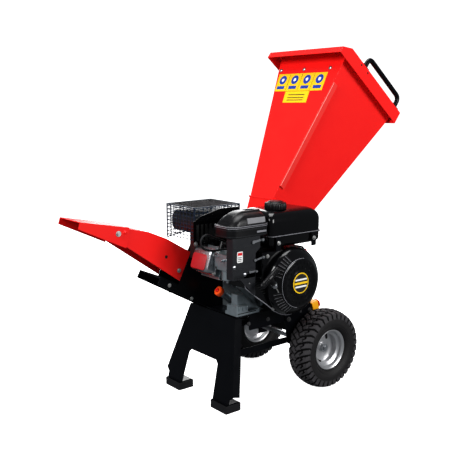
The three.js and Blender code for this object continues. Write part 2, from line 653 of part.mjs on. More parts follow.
function buildChute(engine) {
  const [near, far] = CHAMBER_Y;
  const gap = 0.6;
  const top = [[CHUTE_TOP[0] - 1, CHUTE_TOP[1] + 0.6], [-306, 134], [-366, 160], [SEAM_TOP[0] - 2, 177.5]];
  const points = [
    [CHUTE_LOW[0] - 1, CHUTE_LOW[1] + 0.6],
    ...top,
    [PIVOT[0] + CHEEK_RADIUS, SEAM_LOW[1] + 12],
  ];
  const body = channel(points, [near, far], CHUTE_SHEET, [4, 5, 0]);
  const cheeks = [[near, near + CHUTE_SHEET], [far - CHUTE_SHEET, far]].map((y) => join(
    discY(PIVOT[0], PIVOT[1], CHEEK_RADIUS - 3, y, 28),
    prismY([
      [SEAM_TOP[0] - 2, 166], [PIVOT[0], PIVOT[1] + CHEEK_RADIUS - 6],
      [PIVOT[0] - 4, PIVOT[1] - CHEEK_RADIUS + 5], [SEAM_TOP[0] - 2, SEAM_LOW[1] + 14],
      [SEAM_TOP[0] + 14, SEAM_LOW[1] + 14], [SEAM_TOP[0] + 14, 166],
    ], y)));
  piece(engine, 'chute', join(body, ...cheeks), 'redPaint');

  const tip = [SEAM_LOW, [SEAM_TOP[0], SEAM_TOP[1] + 3], [TIP_TOP[0], TIP_TOP[1]], TIP_LOW];
  const outer = [near - CHUTE_SHEET - gap, far + CHUTE_SHEET + gap];
  piece(engine, 'chute_deflector', channel(tip, outer, CHUTE_SHEET, [0, 2, 3]), 'redPaint');
}

// ---------------------------------------------------------------- throat (from the crank axis)
function outletPoint(x) {
  const c = Math.cos(HOPPER_TILT);
  const s = Math.sin(HOPPER_TILT);
  return [HOPPER_ORIGIN[0] - CRANK_X + x * c, HOPPER_ORIGIN[1] - DECK_TOP - SHAFT_HEIGHT - x * s];
}

function buildThroat(engine) {
  const [near, far] = CHAMBER_Y;
  const sheet = 2.5;
  const flange = 4;
  const lip = 10;
  const along = new THREE.Vector2(THROAT_RIGHT[0] - THROAT_LEFT[0], THROAT_RIGHT[1] - THROAT_LEFT[1]);
  const u = along.clone().normalize();
  const n = new THREE.Vector2(-u.y, u.x);
  const onFoot = (s, h) => [THROAT_LEFT[0] + u.x * s + n.x * h, THROAT_LEFT[1] + u.y * s + n.y * h];
  const width = along.length();
  const rise = THROAT_SEAT;
  const footLeft = onFoot(0, rise);
  const footRight = onFoot(width, rise);
  const outlet = [outletPoint(-OUTLET_HALF_X), outletPoint(OUTLET_HALF_X)];
  const m = [Math.sin(HOPPER_TILT), Math.cos(HOPPER_TILT)];
  const below = (p, h) => [p[0] - m[0] * h, p[1] - m[1] * h];
  const walls = [footLeft, footRight, below(outlet[1], flange + GAP), below(outlet[0], flange + GAP)];
  const y = [near + 2, far - 2];
  const inner = inset(walls, [-40, sheet, -40, sheet]);
  const footFlange = prismY([
    onFoot(-BAND - lip, rise), onFoot(width + BAND + lip, rise),
    onFoot(width + BAND + lip, rise + flange), onFoot(-BAND - lip, rise + flange),
  ], [near - 6, far + 6]);
  const collar = 3;
  const headFlange = prismY([
    below(outletPoint(-OUTLET_HALF_X - collar), flange + GAP),
    below(outletPoint(OUTLET_HALF_X + collar), flange + GAP),
    below(outletPoint(OUTLET_HALF_X + collar), GAP), below(outletPoint(-OUTLET_HALF_X - collar), GAP),
  ], [near - collar, far + collar]);
  const hollow = prismY(inner, [y[0] + sheet, y[1] - sheet]);
  piece(engine, 'throat', cut(join(prismY(walls, y), footFlange, headFlange), hollow), 'redPaint');
}

// ---------------------------------------------------------------- feed hopper (mouth's own frame)
function quad(x, halfY, z) {
  return [[x[0], -halfY, z], [x[1], -halfY, z], [x[1], halfY, z], [x[0], halfY, z]]
    .map((p) => new THREE.Vector3(...p));
}

function buildHopper() {
  const hopper = new THREE.Group();
  hopper.position.set(HOPPER_ORIGIN[0], (CHAMBER_Y[0] + CHAMBER_Y[1]) / 2, HOPPER_ORIGIN[1]);
  hopper.rotation.y = HOPPER_TILT;
  const outletX = [-OUTLET_HALF_X, OUTLET_HALF_X];

  // Shell: outer pyramid less an inner one that runs past both ends.
  const at = (t, thick) => quad(
    [outletX[0] + (MOUTH_X[0] - outletX[0]) * t + thick, outletX[1] + (MOUTH_X[1] - outletX[1]) * t - thick],
    OUTLET_HALF_Y + (MOUTH_HALF_Y - OUTLET_HALF_Y) * t - thick, HOPPER_DEPTH * t);
  const shell = cut(
    new ConvexGeometry([...at(0, 0), ...at(1, 0)]),
    new ConvexGeometry([...at(-0.05, HOPPER_SHEET), ...at(1.05, HOPPER_SHEET)]));
  piece(hopper, 'hopper_shell', shell, 'redPaint');

  // Rim: a shallow tray turned over the mouth, its upper edge bevelled, cut out for the mouth.
  const skirtZ = RIM_TOP - RIM_SKIRT;
  const roof = [
    [RIM_X[0], skirtZ], [RIM_X[0], RIM_TOP - RIM_BEVEL[1]], [RIM_X[0] + RIM_BEVEL[0], RIM_TOP],
    [RIM_X[1], RIM_TOP], [RIM_X[1], skirtZ],
  ];
  const tray = inset(roof, [HOPPER_SHEET, HOPPER_SHEET, HOPPER_SHEET, HOPPER_SHEET, -20]);
  const innerY = RIM_HALF_Y - HOPPER_SHEET;
  const mouth = block([MOUTH_X[0] + HOPPER_SHEET, MOUTH_X[1] - HOPPER_SHEET],
    [-MOUTH_HALF_Y + HOPPER_SHEET, MOUTH_HALF_Y - HOPPER_SHEET], [skirtZ - 30, RIM_TOP + 10]);
  const shellRoom = new ConvexGeometry([
    ...quad([MOUTH_X[0] - 10, MOUTH_X[1] + 1], MOUTH_HALF_Y + 1, skirtZ - 10),
    ...quad([MOUTH_X[0] - 1, MOUTH_X[1] + 1], MOUTH_HALF_Y + 1, HOPPER_DEPTH + GAP)]);
  const rim = cut(
    prismY(roof, [-RIM_HALF_Y, RIM_HALF_Y]), prismY(tray, [-innerY, innerY]), mouth, shellRoom);
  piece(hopper, 'hopper_rim', rim, 'redPaint');

  // Edge angle along the near left corner.
  const edgePoint = (t) => at(t, 0)[0];
  const edge = edgePoint(1).sub(edgePoint(0));
  const out = new THREE.Vector3(1, 0, 0).cross(edge).normalize();
  const barWidth = 20;
  const barHeight = 7;
  const section = (t) => [[0, GAP], [barWidth, GAP], [barWidth, barHeight], [0, barHeight]]
    .map(([x, h]) => edgePoint(t).add(new THREE.Vector3(x, 0, 0)).addScaledVector(out, h));
  piece(hopper, 'hopper_edge_angle', new ConvexGeometry([...section(0.09), ...section(0.79)]), 'redPaint');

  // Handle: bent tube on two foot plates bolted to the rim's near side.
  const handleY = -RIM_HALF_Y + 9.5;
  const foot = RIM_TOP + GAP;
  const tube = bentBar([
    [HANDLE_X[0], handleY, foot + 1], [HANDLE_X[0], handleY, foot + HANDLE_REACH],
    [HANDLE_X[1], handleY, foot + HANDLE_REACH], [HANDLE_X[1], handleY, foot + 1],
  ], 20, HANDLE_RADIUS, 14, 5);
  const feet = HANDLE_X.map((x) => block([x - 20, x + 20], [handleY - 8, handleY + 8], [foot, foot + 3]));
  piece(hopper, 'hopper_handle', join(tube, ...feet), 'blackPlastic');
  return hopper;
}

// Rubber flap that hangs inside the hopper from its upper wall, below the mouth.
function buildFlap(frame) {
  const s = Math.sin(HOPPER_TILT);
  const c = Math.cos(HOPPER_TILT);
  const t = 0.88;
  const wall = -OUTLET_HALF_X + (MOUTH_X[0] + OUTLET_HALF_X) * t + 9;
  const x = HOPPER_ORIGIN[0] + wall * c + HOPPER_DEPTH * t * s;
  const z = HOPPER_ORIGIN[1] - wall * s + HOPPER_DEPTH * t * c;
  const y = (CHAMBER_Y[0] + CHAMBER_Y[1]) / 2;
  const half = FLAP_HALF;
  const sheet = prismX([
    [-half, 0], [half, 0], [half - 50, -FLAP_LENGTH], [-half + 50, -FLAP_LENGTH],
  ], [-FLAP_THICKNESS / 2, FLAP_THICKNESS / 2]);
  const roll = discY(0, 0, FLAP_THICKNESS, [-half, half], 12);
  const flap = piece(frame, 'rubber_flap', join(sheet, roll), 'rubber');
  flap.position.set(x, y, z);
}

// ---------------------------------------------------------------- engine
function buildCrankcase(engine) {
  const back = PTO_Y - 12;
  const base = -SHAFT_HEIGHT;
  const profile = [
    [-96, base], [88, base], [88, base + 16], [80, base + 24], [80, 30], [52, 66], [-20, 78], [-62, 68],
    [-80, -22], [-96, -30],
  ];
  const body = prismY(profile, [CASE_FRONT_Y, back]);
  const leftFoot = join(
    block([-152, -60], [-122, -66], [base, base + 11]),
    block([-152, -106], [-122, -74], [base, base + 32]),
    block([-142, -90], [-112, -84], [base + 20, base + 66]));
  const rightFoot = block([40, 96], [-122, back - 20], [base, base + 13]);
  const seat = block([-44, 44], [-44, 44], [40, CYLINDER_FOOT])
    .rotateY(CYLINDER_TILT - Math.PI / 2).translate(0, CYLINDER_Y, 0);
  const neckAngle = THREE.MathUtils.degToRad(-54);
  const neck = new THREE.CylinderGeometry(11, 13, 74, 20).rotateX(Math.PI / 2).rotateY(neckAngle)
    .translate(-116, -40, -69);
  const cavity = prismY(inset(profile, [CASE_WALL, CASE_WALL + 10, CASE_WALL + 6, CASE_WALL, CASE_WALL,
    CASE_WALL, CASE_WALL, CASE_WALL, CASE_WALL, CASE_WALL]), [CASE_FRONT_Y + CASE_WALL, back + 20]);
  const barrel = new THREE.CylinderGeometry(BORE_RADIUS, BORE_RADIUS, 120, 32).rotateX(Math.PI / 2)
    .translate(0, 0, 60).rotateY(CYLINDER_TILT - Math.PI / 2).translate(0, CYLINDER_Y, 0);
  const shaft = discY(0, 0, SHAFT_RADIUS + RUN, [-300, 300], 28);
  const casing = cut(join(body, leftFoot, rightFoot, seat, neck), cavity, barrel, shaft);
  piece(engine, 'crankcase', casing, 'castAlloy');
  const cover = join(
    prismY(profile, [back + GAP, back + 7]),
    discY(0, 0, 42, [back + 2, PTO_Y], 36));
  piece(engine, 'side_cover', cut(cover, shaft), 'castAlloy');
}

// Finned cylinder, head and valve cover along the tilted cylinder axis (local +Z), local +X up.
function buildCylinder(engine) {
  const line = new THREE.Group();
  line.position.set(0, CYLINDER_Y, 0);
  line.rotation.y = CYLINDER_TILT - Math.PI / 2;
  const fins = (from, to, half) => {
    const list = [];
    for (let z = from; z + 3 <= to; z += FIN_PITCH) {
      list.push(block([-half, half], [-half + 4, half - 4], [z, z + 3]));
    }
    return list;
  };
  const hole = (z, radius) => discZ(0, 0, radius, z, 32);
  const barrel = join(
    block([-40, 40], [-40, 40], [CYLINDER_FOOT + GAP, HEAD_FOOT - GAP]),
    ...fins(CYLINDER_FOOT + 12, HEAD_FOOT - 3, FIN_HALF));
  piece(line, 'cylinder', cut(barrel, hole([0, 400], BORE_RADIUS)), 'castAlloy');
  const head = join(
    block([-40, 40], [-40, 40], [HEAD_FOOT, COVER_FOOT - GAP]),
    ...fins(HEAD_FOOT + 4, COVER_FOOT - 12, FIN_HALF - 2));
  const plug = [-20, 196];
  const plugHole = new THREE.CylinderGeometry(7, 7, 40, 16).rotateZ(-Math.PI / 2)
    .translate(38, plug[0], plug[1]);
  const plugRoom = block([40, 60], [plug[0] - 14, plug[0] + 14], [plug[1] - 13, plug[1] + 13]);
  piece(line, 'cylinder_head',
    cut(head, hole([HEAD_FOOT - 10, HEAD_FOOT + 8], BORE_RADIUS - 3), plugHole, plugRoom), 'castAlloy');
  const cover = join(
    prismZ(roundedRect([-39, 39], [-46, 46], 12), [COVER_FOOT, COVER_FOOT + 5]),
    prismZ(roundedRect([-35, 35], [-42, 42], 12), [COVER_FOOT + 4, COVER_TOP - 4]),
    prismZ(roundedRect([-30, 30], [-37, 37], 12), [COVER_TOP - 5, COVER_TOP]));
  const inside = prismZ(roundedRect([-30, 30], [-37, 37], 8), [COVER_FOOT - 5, COVER_TOP - 8]);
  piece(line, 'valve_cover', cut(cover, inside), 'steel');
  const boot = join(
    new THREE.CylinderGeometry(8.5, 9.5, 28, 20).rotateZ(-Math.PI / 2).translate(54 + GAP, ...plug),
    new THREE.CylinderGeometry(6.5, 7.5, 22, 16).translate(62, plug[0] - 8, plug[1]));
  piece(line, 'spark_plug_cap', boot, 'blackPlastic');
  engine.add(line);
}

// Sheet shroud over the cylinder: a front panel with a bent-back ledge above the fins.
function buildCylinderShroud(engine) {
  const low = 118;
  const panel = prismY([
    [-262, low], [-267, low + 8], [-267, 190], [-244, 204], [-168, 222], [-92 - GAP, 222], [-92 - GAP, low],
  ], [-62, -59.5]);
  const ledge = block([-148, -92 - GAP], [-92, -59.5], [low, low + 2.5]);
  piece(engine, 'cylinder_shroud', join(panel, ledge), 'engineBlack');
}

// Ignition lead, from the plug cap in a loop past the valve cover, over the carburettor to the fan shroud.
const LEAD_POINTS = [
  [-168.3, -95.4, 118], [-168.8, -105, 119], [-194, -109.5, 133], [-230, -110, 147], [-253, -110, 157],
  [-270, -110, 152], [-277, -110, 137], [-269, -110, 120], [-250, -110, 111], [-228, -110, 107.5],
  [-204, -112, 108], [-180, -120, 107], [-160, -134, 92], [-152, -148, 60], [-152, -150, 30.8],
];

function buildIntake(engine) {
  // Carburettor: body with a float bowl below.
  const body = block([-222, -178], [-173, -103 - GAP], [52, 100]);
  const bowl = discZ(-200, -138, 18, [22, 54], 24);
  const throat = discY(-200, 76, 14, [-174, -98], 24);
  piece(engine, 'carburettor', cut(join(body, bowl), throat), 'castAlloy');

  // Elbow: the duct panel in front of the carburettor, up to the air cleaner.
  const panel = prismY([
    [-233, 33], [-146, 33], [-146, 104], [-128, 118], [-128, CLEANER_BASE_Z - GAP],
    [-233, CLEANER_BASE_Z - GAP],
  ], [-201, -173 - GAP]);
  const duct = prismY([[-222, 56], [-178, 56], [-178, 100], [-140, 130], [-140, 170], [-222, 170]],
    [-196, -179]);
  const port = discY(-200, 76, 14, [-182, -170], 24);
  piece(engine, 'intake_elbow', cut(panel, duct, port), 'blackPlastic');

  // Air cleaner: tray and domed cover.
  const tray = prismZ(roundedRect(CLEANER_X, CLEANER_Y, 26, 5), [CLEANER_BASE_Z, CLEANER_SPLIT_Z]);
  const inset2 = [CLEANER_X[0] + 4, CLEANER_X[1] - 4];
  const insetY = [CLEANER_Y[0] + 4, CLEANER_Y[1] - 4];
  const well = prismZ(roundedRect(inset2, insetY, 22, 5), [CLEANER_BASE_Z + 4, CLEANER_SPLIT_Z + 5]);
  const inlet = block([-222, -140], [-196, -179], [CLEANER_BASE_Z - 10, CLEANER_BASE_Z + 10]);
  piece(engine, 'air_cleaner_base', cut(tray, well, inlet), 'blackPlastic');
  const steps = 5;
  const layers = [];
  for (let i = 0; i < steps; i += 1) {
    const angle = i / steps * Math.PI / 2;
    const next = (i + 1) / steps * Math.PI / 2;
    const rise = 26;
    const ring = (a) => roundedRect(
      [CLEANER_X[0] + 20 * (1 - Math.cos(a)), CLEANER_X[1] - 20 * (1 - Math.cos(a))],
      [CLEANER_Y[0] + 20 * (1 - Math.cos(a)), CLEANER_Y[1] - 20 * (1 - Math.cos(a))], 24, 5)
      .map(([x, y]) => new THREE.Vector3(x, y, CLEANER_TOP_Z - 8 - rise + rise * Math.sin(a)));
    layers.push(new ConvexGeometry([...ring(angle), ...ring(next)]));
  }
  const skirt = prismZ(roundedRect(CLEANER_X, CLEANER_Y, 26, 5),
    [CLEANER_SPLIT_Z + GAP, CLEANER_TOP_Z - 33.9]);
  const rib = block([CLEANER_X[0] + 30, CLEANER_X[1] - 30], [-172, -128], [CLEANER_TOP_Z - 20, CLEANER_TOP_Z]);
  const hollow = prismZ(roundedRect([CLEANER_X[0] + 6, CLEANER_X[1] - 6], [CLEANER_Y[0] + 6, CLEANER_Y[1] - 6],
    22, 5), [CLEANER_SPLIT_Z - 10, CLEANER_TOP_Z - 36]);
  piece(engine, 'air_cleaner_cover', cut(join(skirt, ...layers, rib), hollow), 'blackPlastic');
}

function buildTank(engine) {
  const chamfer = 30;
  const profile = (d) => [
    [TANK_X[0] + 14 + d, TANK_Z[0] + d], [TANK_X[1] - 14 - d, TANK_Z[0] + d], [TANK_X[1] - d, TANK_Z[0] + 14 + d],
    [TANK_X[1] - d, TANK_Z[1] - chamfer - d], [TANK_X[1] - chamfer * 0.4 - d, TANK_Z[1] - chamfer * 0.35 - d],
    [TANK_X[1] - chamfer - d, TANK_Z[1] - d], [TANK_X[0] + 26 + d, TANK_Z[1] - d],
    [TANK_X[0] + 8 + d, TANK_Z[1] - 8 - d], [TANK_X[0] + d, TANK_Z[1] - 26 - d],
    [TANK_X[0] + d, TANK_Z[0] + 14 + d],
  ];
  // The ends are drawn in to round the tank's front and back edges.
  const taper = 12;
  const ends = [
    [TANK_Y[0], taper], [TANK_Y[0] + 4, 5], [TANK_Y[0] + taper, 0],
    [TANK_Y[1] - taper, 0], [TANK_Y[1] - 4, 5], [TANK_Y[1], taper],
  ];
  const points = ends.flatMap(([y, d]) => profile(d).map(([x, z]) => new THREE.Vector3(x, y, z)));
  const seam = prismZ(
    roundedRect([TANK_X[0] - 1, TANK_X[1] + 5], [TANK_Y[0] - 5, TANK_Y[1] + 5], 16),
    [TANK_SEAM_Z - 3, TANK_SEAM_Z + 1]);
  const neckX = -19;
  const neckY = -145;
  const neck = discZ(neckX, neckY, 24, [TANK_Z[1] - 3, TANK_Z[1] + 4], 28);
  const hollow = prismY(profile(TANK_WALL + 3), [TANK_Y[0] + taper, TANK_Y[1] - taper]);
  const filler = discZ(neckX, neckY, 20, [TANK_Z[1] - 20, TANK_Z[1] + 20], 24);
  piece(engine, 'fuel_tank', cut(join(new ConvexGeometry(points), seam, neck), hollow, filler), 'engineBlack');

  const cap = new THREE.Group();
  cap.position.set(neckX, neckY, TANK_Z[1]);
  const crown = new THREE.LatheGeometry([
    [0, CAP_HEIGHT], [CAP_RADIUS - 9, CAP_HEIGHT], [CAP_RADIUS - 4, CAP_HEIGHT - 3],
    [CAP_RADIUS, CAP_HEIGHT - 9], [CAP_RADIUS, GAP], [25.5, GAP], [25.5, CAP_HEIGHT - 15],
    [0, CAP_HEIGHT - 15], [0, CAP_HEIGHT],
  ].map(([r, z]) => new THREE.Vector2(r, z)), 28).rotateX(Math.PI / 2);
  piece(cap, 'fuel_cap', fromSolid(toSolid(crown)), 'blackPlastic');
  engine.add(cap);
}

// Outline of the fan shroud, from its upper left corner round the fan circle.
const SHROUD_OUTLINE = [
  [-180, 30], [-180, 3], [-98, -59], [-66, -88], ...arc(SHROUD_RADIUS, 238, 416, 20),
  [52, 100], [-118, 100], [-118, 30],
];

function buildFanSide(engine) {
  const y = [SHROUD_FRONT_Y, SHROUD_BACK_Y];
  const hollow = prismY(inset(SHROUD_OUTLINE, SHROUD_WALL), [y[0] + SHROUD_WALL, y[1] + 20]);
  const mouth = discY(0, 0, RECOIL_RADIUS - 8, [y[0] - 10, y[0] + 10], 40);
  piece(engine, 'fan_shroud', cut(prismY(SHROUD_OUTLINE, y), hollow, mouth), 'engineBlack');

  const front = SHROUD_FRONT_Y - GAP;
  const end = front - RECOIL_DEPTH;
  const wall = 2.5;
  const cover = turnedY([
    [0, end], [70, end], [74, end + 2], [88, end + 13], [100, end + 28], [RECOIL_RADIUS, front],
    [RECOIL_RADIUS - wall, front], [100 - wall, end + 29], [87 - wall, end + 16], [72, end + 5],
    [67, end + wall], [0, end + wall], [0, end],
  ], 40);
  const boss = discY(0, 0, 9, [end + 1, end + 30], 24);
  const ropeExit = new THREE.CylinderGeometry(4.5, 4.5, 60, 14)
    .rotateX(Math.PI / 2).rotateY(THREE.MathUtils.degToRad(-35)).translate(-84, end + 20, 24);
  piece(engine, 'recoil_cover', cut(join(cover, boss), ropeExit), 'engineBlack');

  const reelY = [end + wall + 6, end + wall + 20];
  const reel = turnedY([
    [10, reelY[0]], [REEL_RADIUS, reelY[0]], [REEL_RADIUS, reelY[0] + 3], [REEL_RADIUS - 12, reelY[0] + 4],
    [REEL_RADIUS - 12, reelY[1] - 4], [REEL_RADIUS, reelY[1] - 3], [REEL_RADIUS, reelY[1]], [10, reelY[1]],
    [10, reelY[0]],
  ], 36);
  piece(engine, 'recoil_reel', fromSolid(toSolid(reel)), 'blackPlastic');

  // Crankshaft with its throw inside the crankcase, flywheel end and long output end.
  const throwRadius = 27;
  const webs = [[CYLINDER_Y - 26, CYLINDER_Y - 14], [CYLINDER_Y + 14, CYLINDER_Y + 26]];
  const crank = join(
    discY(0, 0, SHAFT_RADIUS, [SHROUD_FRONT_Y + 8, webs[0][1]], 28),
    discY(0, 0, SHAFT_RADIUS, [webs[1][0], CHAMBER_Y[1] - BAND - 1.5], 28),
    discY(throwRadius, 0, 14, [webs[0][0] + 2, webs[1][1] - 2], 24),
    ...webs.map((w) => prismY([...arc(44, 90, 270, 10), [20, -24], [44, -14], [44, 14], [20, 24]], w)));
  piece(engine, 'crankshaft', crank, 'steel');

  const hub = SHAFT_RADIUS + GAP;
  const wheelY = [SHROUD_FRONT_Y + 22, SHROUD_FRONT_Y + 44];
  const disc = turnedY([
    [hub, wheelY[0] - 4], [30, wheelY[0] - 4], [34, wheelY[0]], [FLYWHEEL_RADIUS, wheelY[0]],
    [FLYWHEEL_RADIUS, wheelY[1]], [FLYWHEEL_RADIUS - 14, wheelY[1]], [FLYWHEEL_RADIUS - 16, wheelY[0] + 8],
    [34, wheelY[0] + 8], [30, wheelY[1]], [hub, wheelY[1]], [hub, wheelY[0] - 4],
  ], 32);
  const blades = [];
  const bladeCount = 10;
  for (let i = 0; i < bladeCount; i += 1) {
    blades.push(block([52, FLYWHEEL_RADIUS - 2], [wheelY[0] - 14, wheelY[0] + 2], [-1.5, 1.5])
      .rotateY(TURN * i / bladeCount));
  }
  piece(engine, 'flywheel', join(disc, ...blades), 'castAlloy');
}

// Pull grip: a T handle on its rope end; local +Z is the pull direction.
function buildRecoilGrip(engine) {
  const grip = new THREE.Group();
  const end = SHROUD_FRONT_Y - GAP - RECOIL_DEPTH;
  grip.position.set(-118, end + 8, 32);
  grip.rotation.y = THREE.MathUtils.degToRad(-35);
  const handle = prismX(roundedRect([-11, 11], [-10, 10], 8, 4), [-43, 43]);
  const stem = discZ(0, 0, 8, [-24, -5], 16);
  piece(grip, 'recoil_grip', join(handle, stem), 'blackPlastic');
  engine.add(grip);
}

function buildExhaust(engine) {
  const body = prismY(roundedRect([-227, -84], [138, 206], 26, 5), [-14, 106]);
  const pipe = join(
    block([-222, -182], [-7 + GAP, 18], [66, 108]),
    block([-222, -182], [-2, 18], [100, 160]));
  piece(engine, 'muffler', join(body, pipe), 'steel');
  const guard = prismY([
    [GUARD_X[0], 119], [GUARD_X[0], GUARD_TOP_Z], [GUARD_X[1], GUARD_TOP_Z], [GUARD_X[1], 144],
  ], GUARD_Y);
  const hollow = prismY([
    [GUARD_X[0] + 2.5, 60], [GUARD_X[0] + 2.5, GUARD_TOP_Z - 2.5], [GUARD_X[1] - 2.5, GUARD_TOP_Z - 2.5],
    [GUARD_X[1] - 2.5, 60],
  ], [GUARD_Y[0] + 2.5, GUARD_Y[1] - 2.5]);
  piece(engine, 'muffler_guard', cut(guard, hollow), 'blackPaint');
}

// Flat lever with a round eye at its pivot, lying in front of the intake elbow.
function lever(length, width, angle) {
  const y = [-4, -1.2];
  const arm = block([0, length], y, [-width / 2, width / 2]);
  const eye = discY(0, 0, width * 0.8, y, 20);
  const knob = discY(length, 0, width * 0.75, [y[0] - 4, y[1]], 16);
  const pin = discY(0, 0, 2.2, [y[0], -GAP], 12);
  return join(arm, eye, knob, pin).rotateY(THREE.MathUtils.degToRad(-angle));
}

function buildControls(engine) {
  const front = -201;
  const levers = [
    ['throttle_lever', [-158, front, 138], 34, 6, 8],
    ['choke_lever', [-150, front, 84], 30, 5, 12],
    ['fuel_lever', [-170, front, 52], 22, 5, 0],
  ];
  for (const [name, place, length, width, angle] of levers) {
    const mesh = piece(engine, name, lever(length, width, angle), 'steel');
    mesh.position.set(...place);
  }
  // Stop switch rocker on the upper right of the fan shroud.
  const rocker = new THREE.Group();
  rocker.rotation.y = THREE.MathUtils.degToRad(-45);
  const rock = prismY([
    [SHROUD_RADIUS + ROCK_CLEAR, -8], [SHROUD_RADIUS + 7, -9], [SHROUD_RADIUS + 5, 0],
    [SHROUD_RADIUS + 7, 9], [SHROUD_RADIUS + ROCK_CLEAR, 8],
  ], [-186, -170]);
  piece(rocker, 'stop_switch', rock, 'redPlastic');
  engine.add(rocker);
  // Oil dipstick on the crankcase neck.
  const neckAngle = THREE.MathUtils.degToRad(-54);
  const stick = join(
    new THREE.CylinderGeometry(15, 15, 16, 12).translate(0, 47, 0),
    new THREE.CylinderGeometry(6, 6, 8, 12).translate(0, 57, 0),
  ).rotateX(Math.PI / 2).rotateY(neckAngle);
  const dip = piece(engine, 'dipstick', stick, 'orangePlastic');
  dip.position.set(-116, -40, -69);
}

// ---------------------------------------------------------------- assembly
const chipper = new THREE.Group();
const frame = new THREE.Group();
chipper.add(frame);
buildLegStand(frame);
buildDeck(frame);
buildRails(frame);
buildAxle(frame);
buildStopStation(frame);
frame.add(buildWheel('near', -1));
frame.add(buildWheel('far', 1));

const engine = new THREE.Group();
engine.position.set(CRANK_X, 0, DECK_TOP + SHAFT_HEIGHT);
chipper.add(engine);
buildChamber(engine);
buildChute(engine);
buildThroat(engine);
buildCrankcase(engine);
buildCylinder(engine);
buildCylinderShroud(engine);
buildIntake(engine);
piece(engine, 'ignition_lead', bar(LEAD_POINTS, 3.2, 8, 42), 'rubber');
buildTank(engine);
buildFanSide(engine);
buildRecoilGrip(engine);
buildExhaust(engine);
buildControls(engine);

frame.add(buildHopper());
buildFlap(frame);

// The origin is the middle of the footprint, on the ground.
const extent = new THREE.Box3().setFromObject(chipper, true);
const middle = extent.getCenter(new THREE.Vector3());
frame.position.set(-middle.x, -middle.y, -extent.min.z);
engine.position.add(frame.position);

export default chipper;
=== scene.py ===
import json
import math
import random

import bmesh
import bpy
from mathutils import Matrix, Vector


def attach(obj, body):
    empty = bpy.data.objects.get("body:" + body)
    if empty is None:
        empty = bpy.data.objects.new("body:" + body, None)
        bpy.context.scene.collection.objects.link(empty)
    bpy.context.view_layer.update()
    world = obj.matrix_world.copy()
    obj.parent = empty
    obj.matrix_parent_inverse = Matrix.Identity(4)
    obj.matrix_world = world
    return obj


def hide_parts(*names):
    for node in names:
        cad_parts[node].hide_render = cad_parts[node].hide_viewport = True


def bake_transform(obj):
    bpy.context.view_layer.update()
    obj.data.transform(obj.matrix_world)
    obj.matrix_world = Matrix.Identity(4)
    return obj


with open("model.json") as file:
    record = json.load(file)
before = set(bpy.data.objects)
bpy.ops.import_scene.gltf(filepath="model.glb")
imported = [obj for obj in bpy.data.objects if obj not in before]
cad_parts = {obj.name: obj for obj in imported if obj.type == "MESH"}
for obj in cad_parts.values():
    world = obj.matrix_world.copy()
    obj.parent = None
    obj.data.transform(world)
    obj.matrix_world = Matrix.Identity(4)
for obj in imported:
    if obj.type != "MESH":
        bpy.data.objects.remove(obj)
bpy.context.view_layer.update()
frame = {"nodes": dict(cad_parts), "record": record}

MM = 0.001
NODES = frame["nodes"]
RECORD = frame["record"]

# ---------------------------------------------------------------- frames (shapes are given in millimetres)
def shifted(base, x, y, z, turn=0.0):
    """The frame base moved by (x, y, z) mm and turned by that many degrees about Y."""
    return base @ Matrix.Translation(Vector((x, y, z)) * MM) @ Matrix.Rotation(math.radians(turn), 4, "Y")


GROUND = Matrix.Translation((0.154126, -0.0076, 0.0))       # under the middle of the axle
ENGINE = shifted(GROUND, -173, 0, 386)                      # the crank axis
HOPPER = shifted(GROUND, 20, 81, 551, 38.6)                 # outlet centre, +Z towards the mouth
CYLINDER = shifted(ENGINE, 0, -55, 0, 17.5 - 90)            # +Z along the bore, +X up
STATION = shifted(GROUND, 13, -108, 250, -17)                # emergency stop box
GRIP = shifted(ENGINE, -118, -232.3, 32, -35)               # starter grip, +Z the pull direction
CAP = shifted(ENGINE, -19, -145, 217)                       # filler cap axis
NEAR_WHEEL = shifted(GROUND, 0, -177, 130)
FAR_WHEEL = shifted(GROUND, 0, 177, 130)
DIP_TILT = -54


# ---------------------------------------------------------------- materials
def new_material(name):
    """An empty node material with its shader; returns (material, nodes, link function, shader)."""
    mat = bpy.data.materials.new(name)
    mat.use_nodes = True
    tree = mat.node_tree
    shader = tree.nodes["Principled BSDF"]

    def link(a, a_socket, b, b_socket):
        tree.links.new(a.outputs[a_socket], b.inputs[b_socket])

    return mat, tree.nodes, link, shader


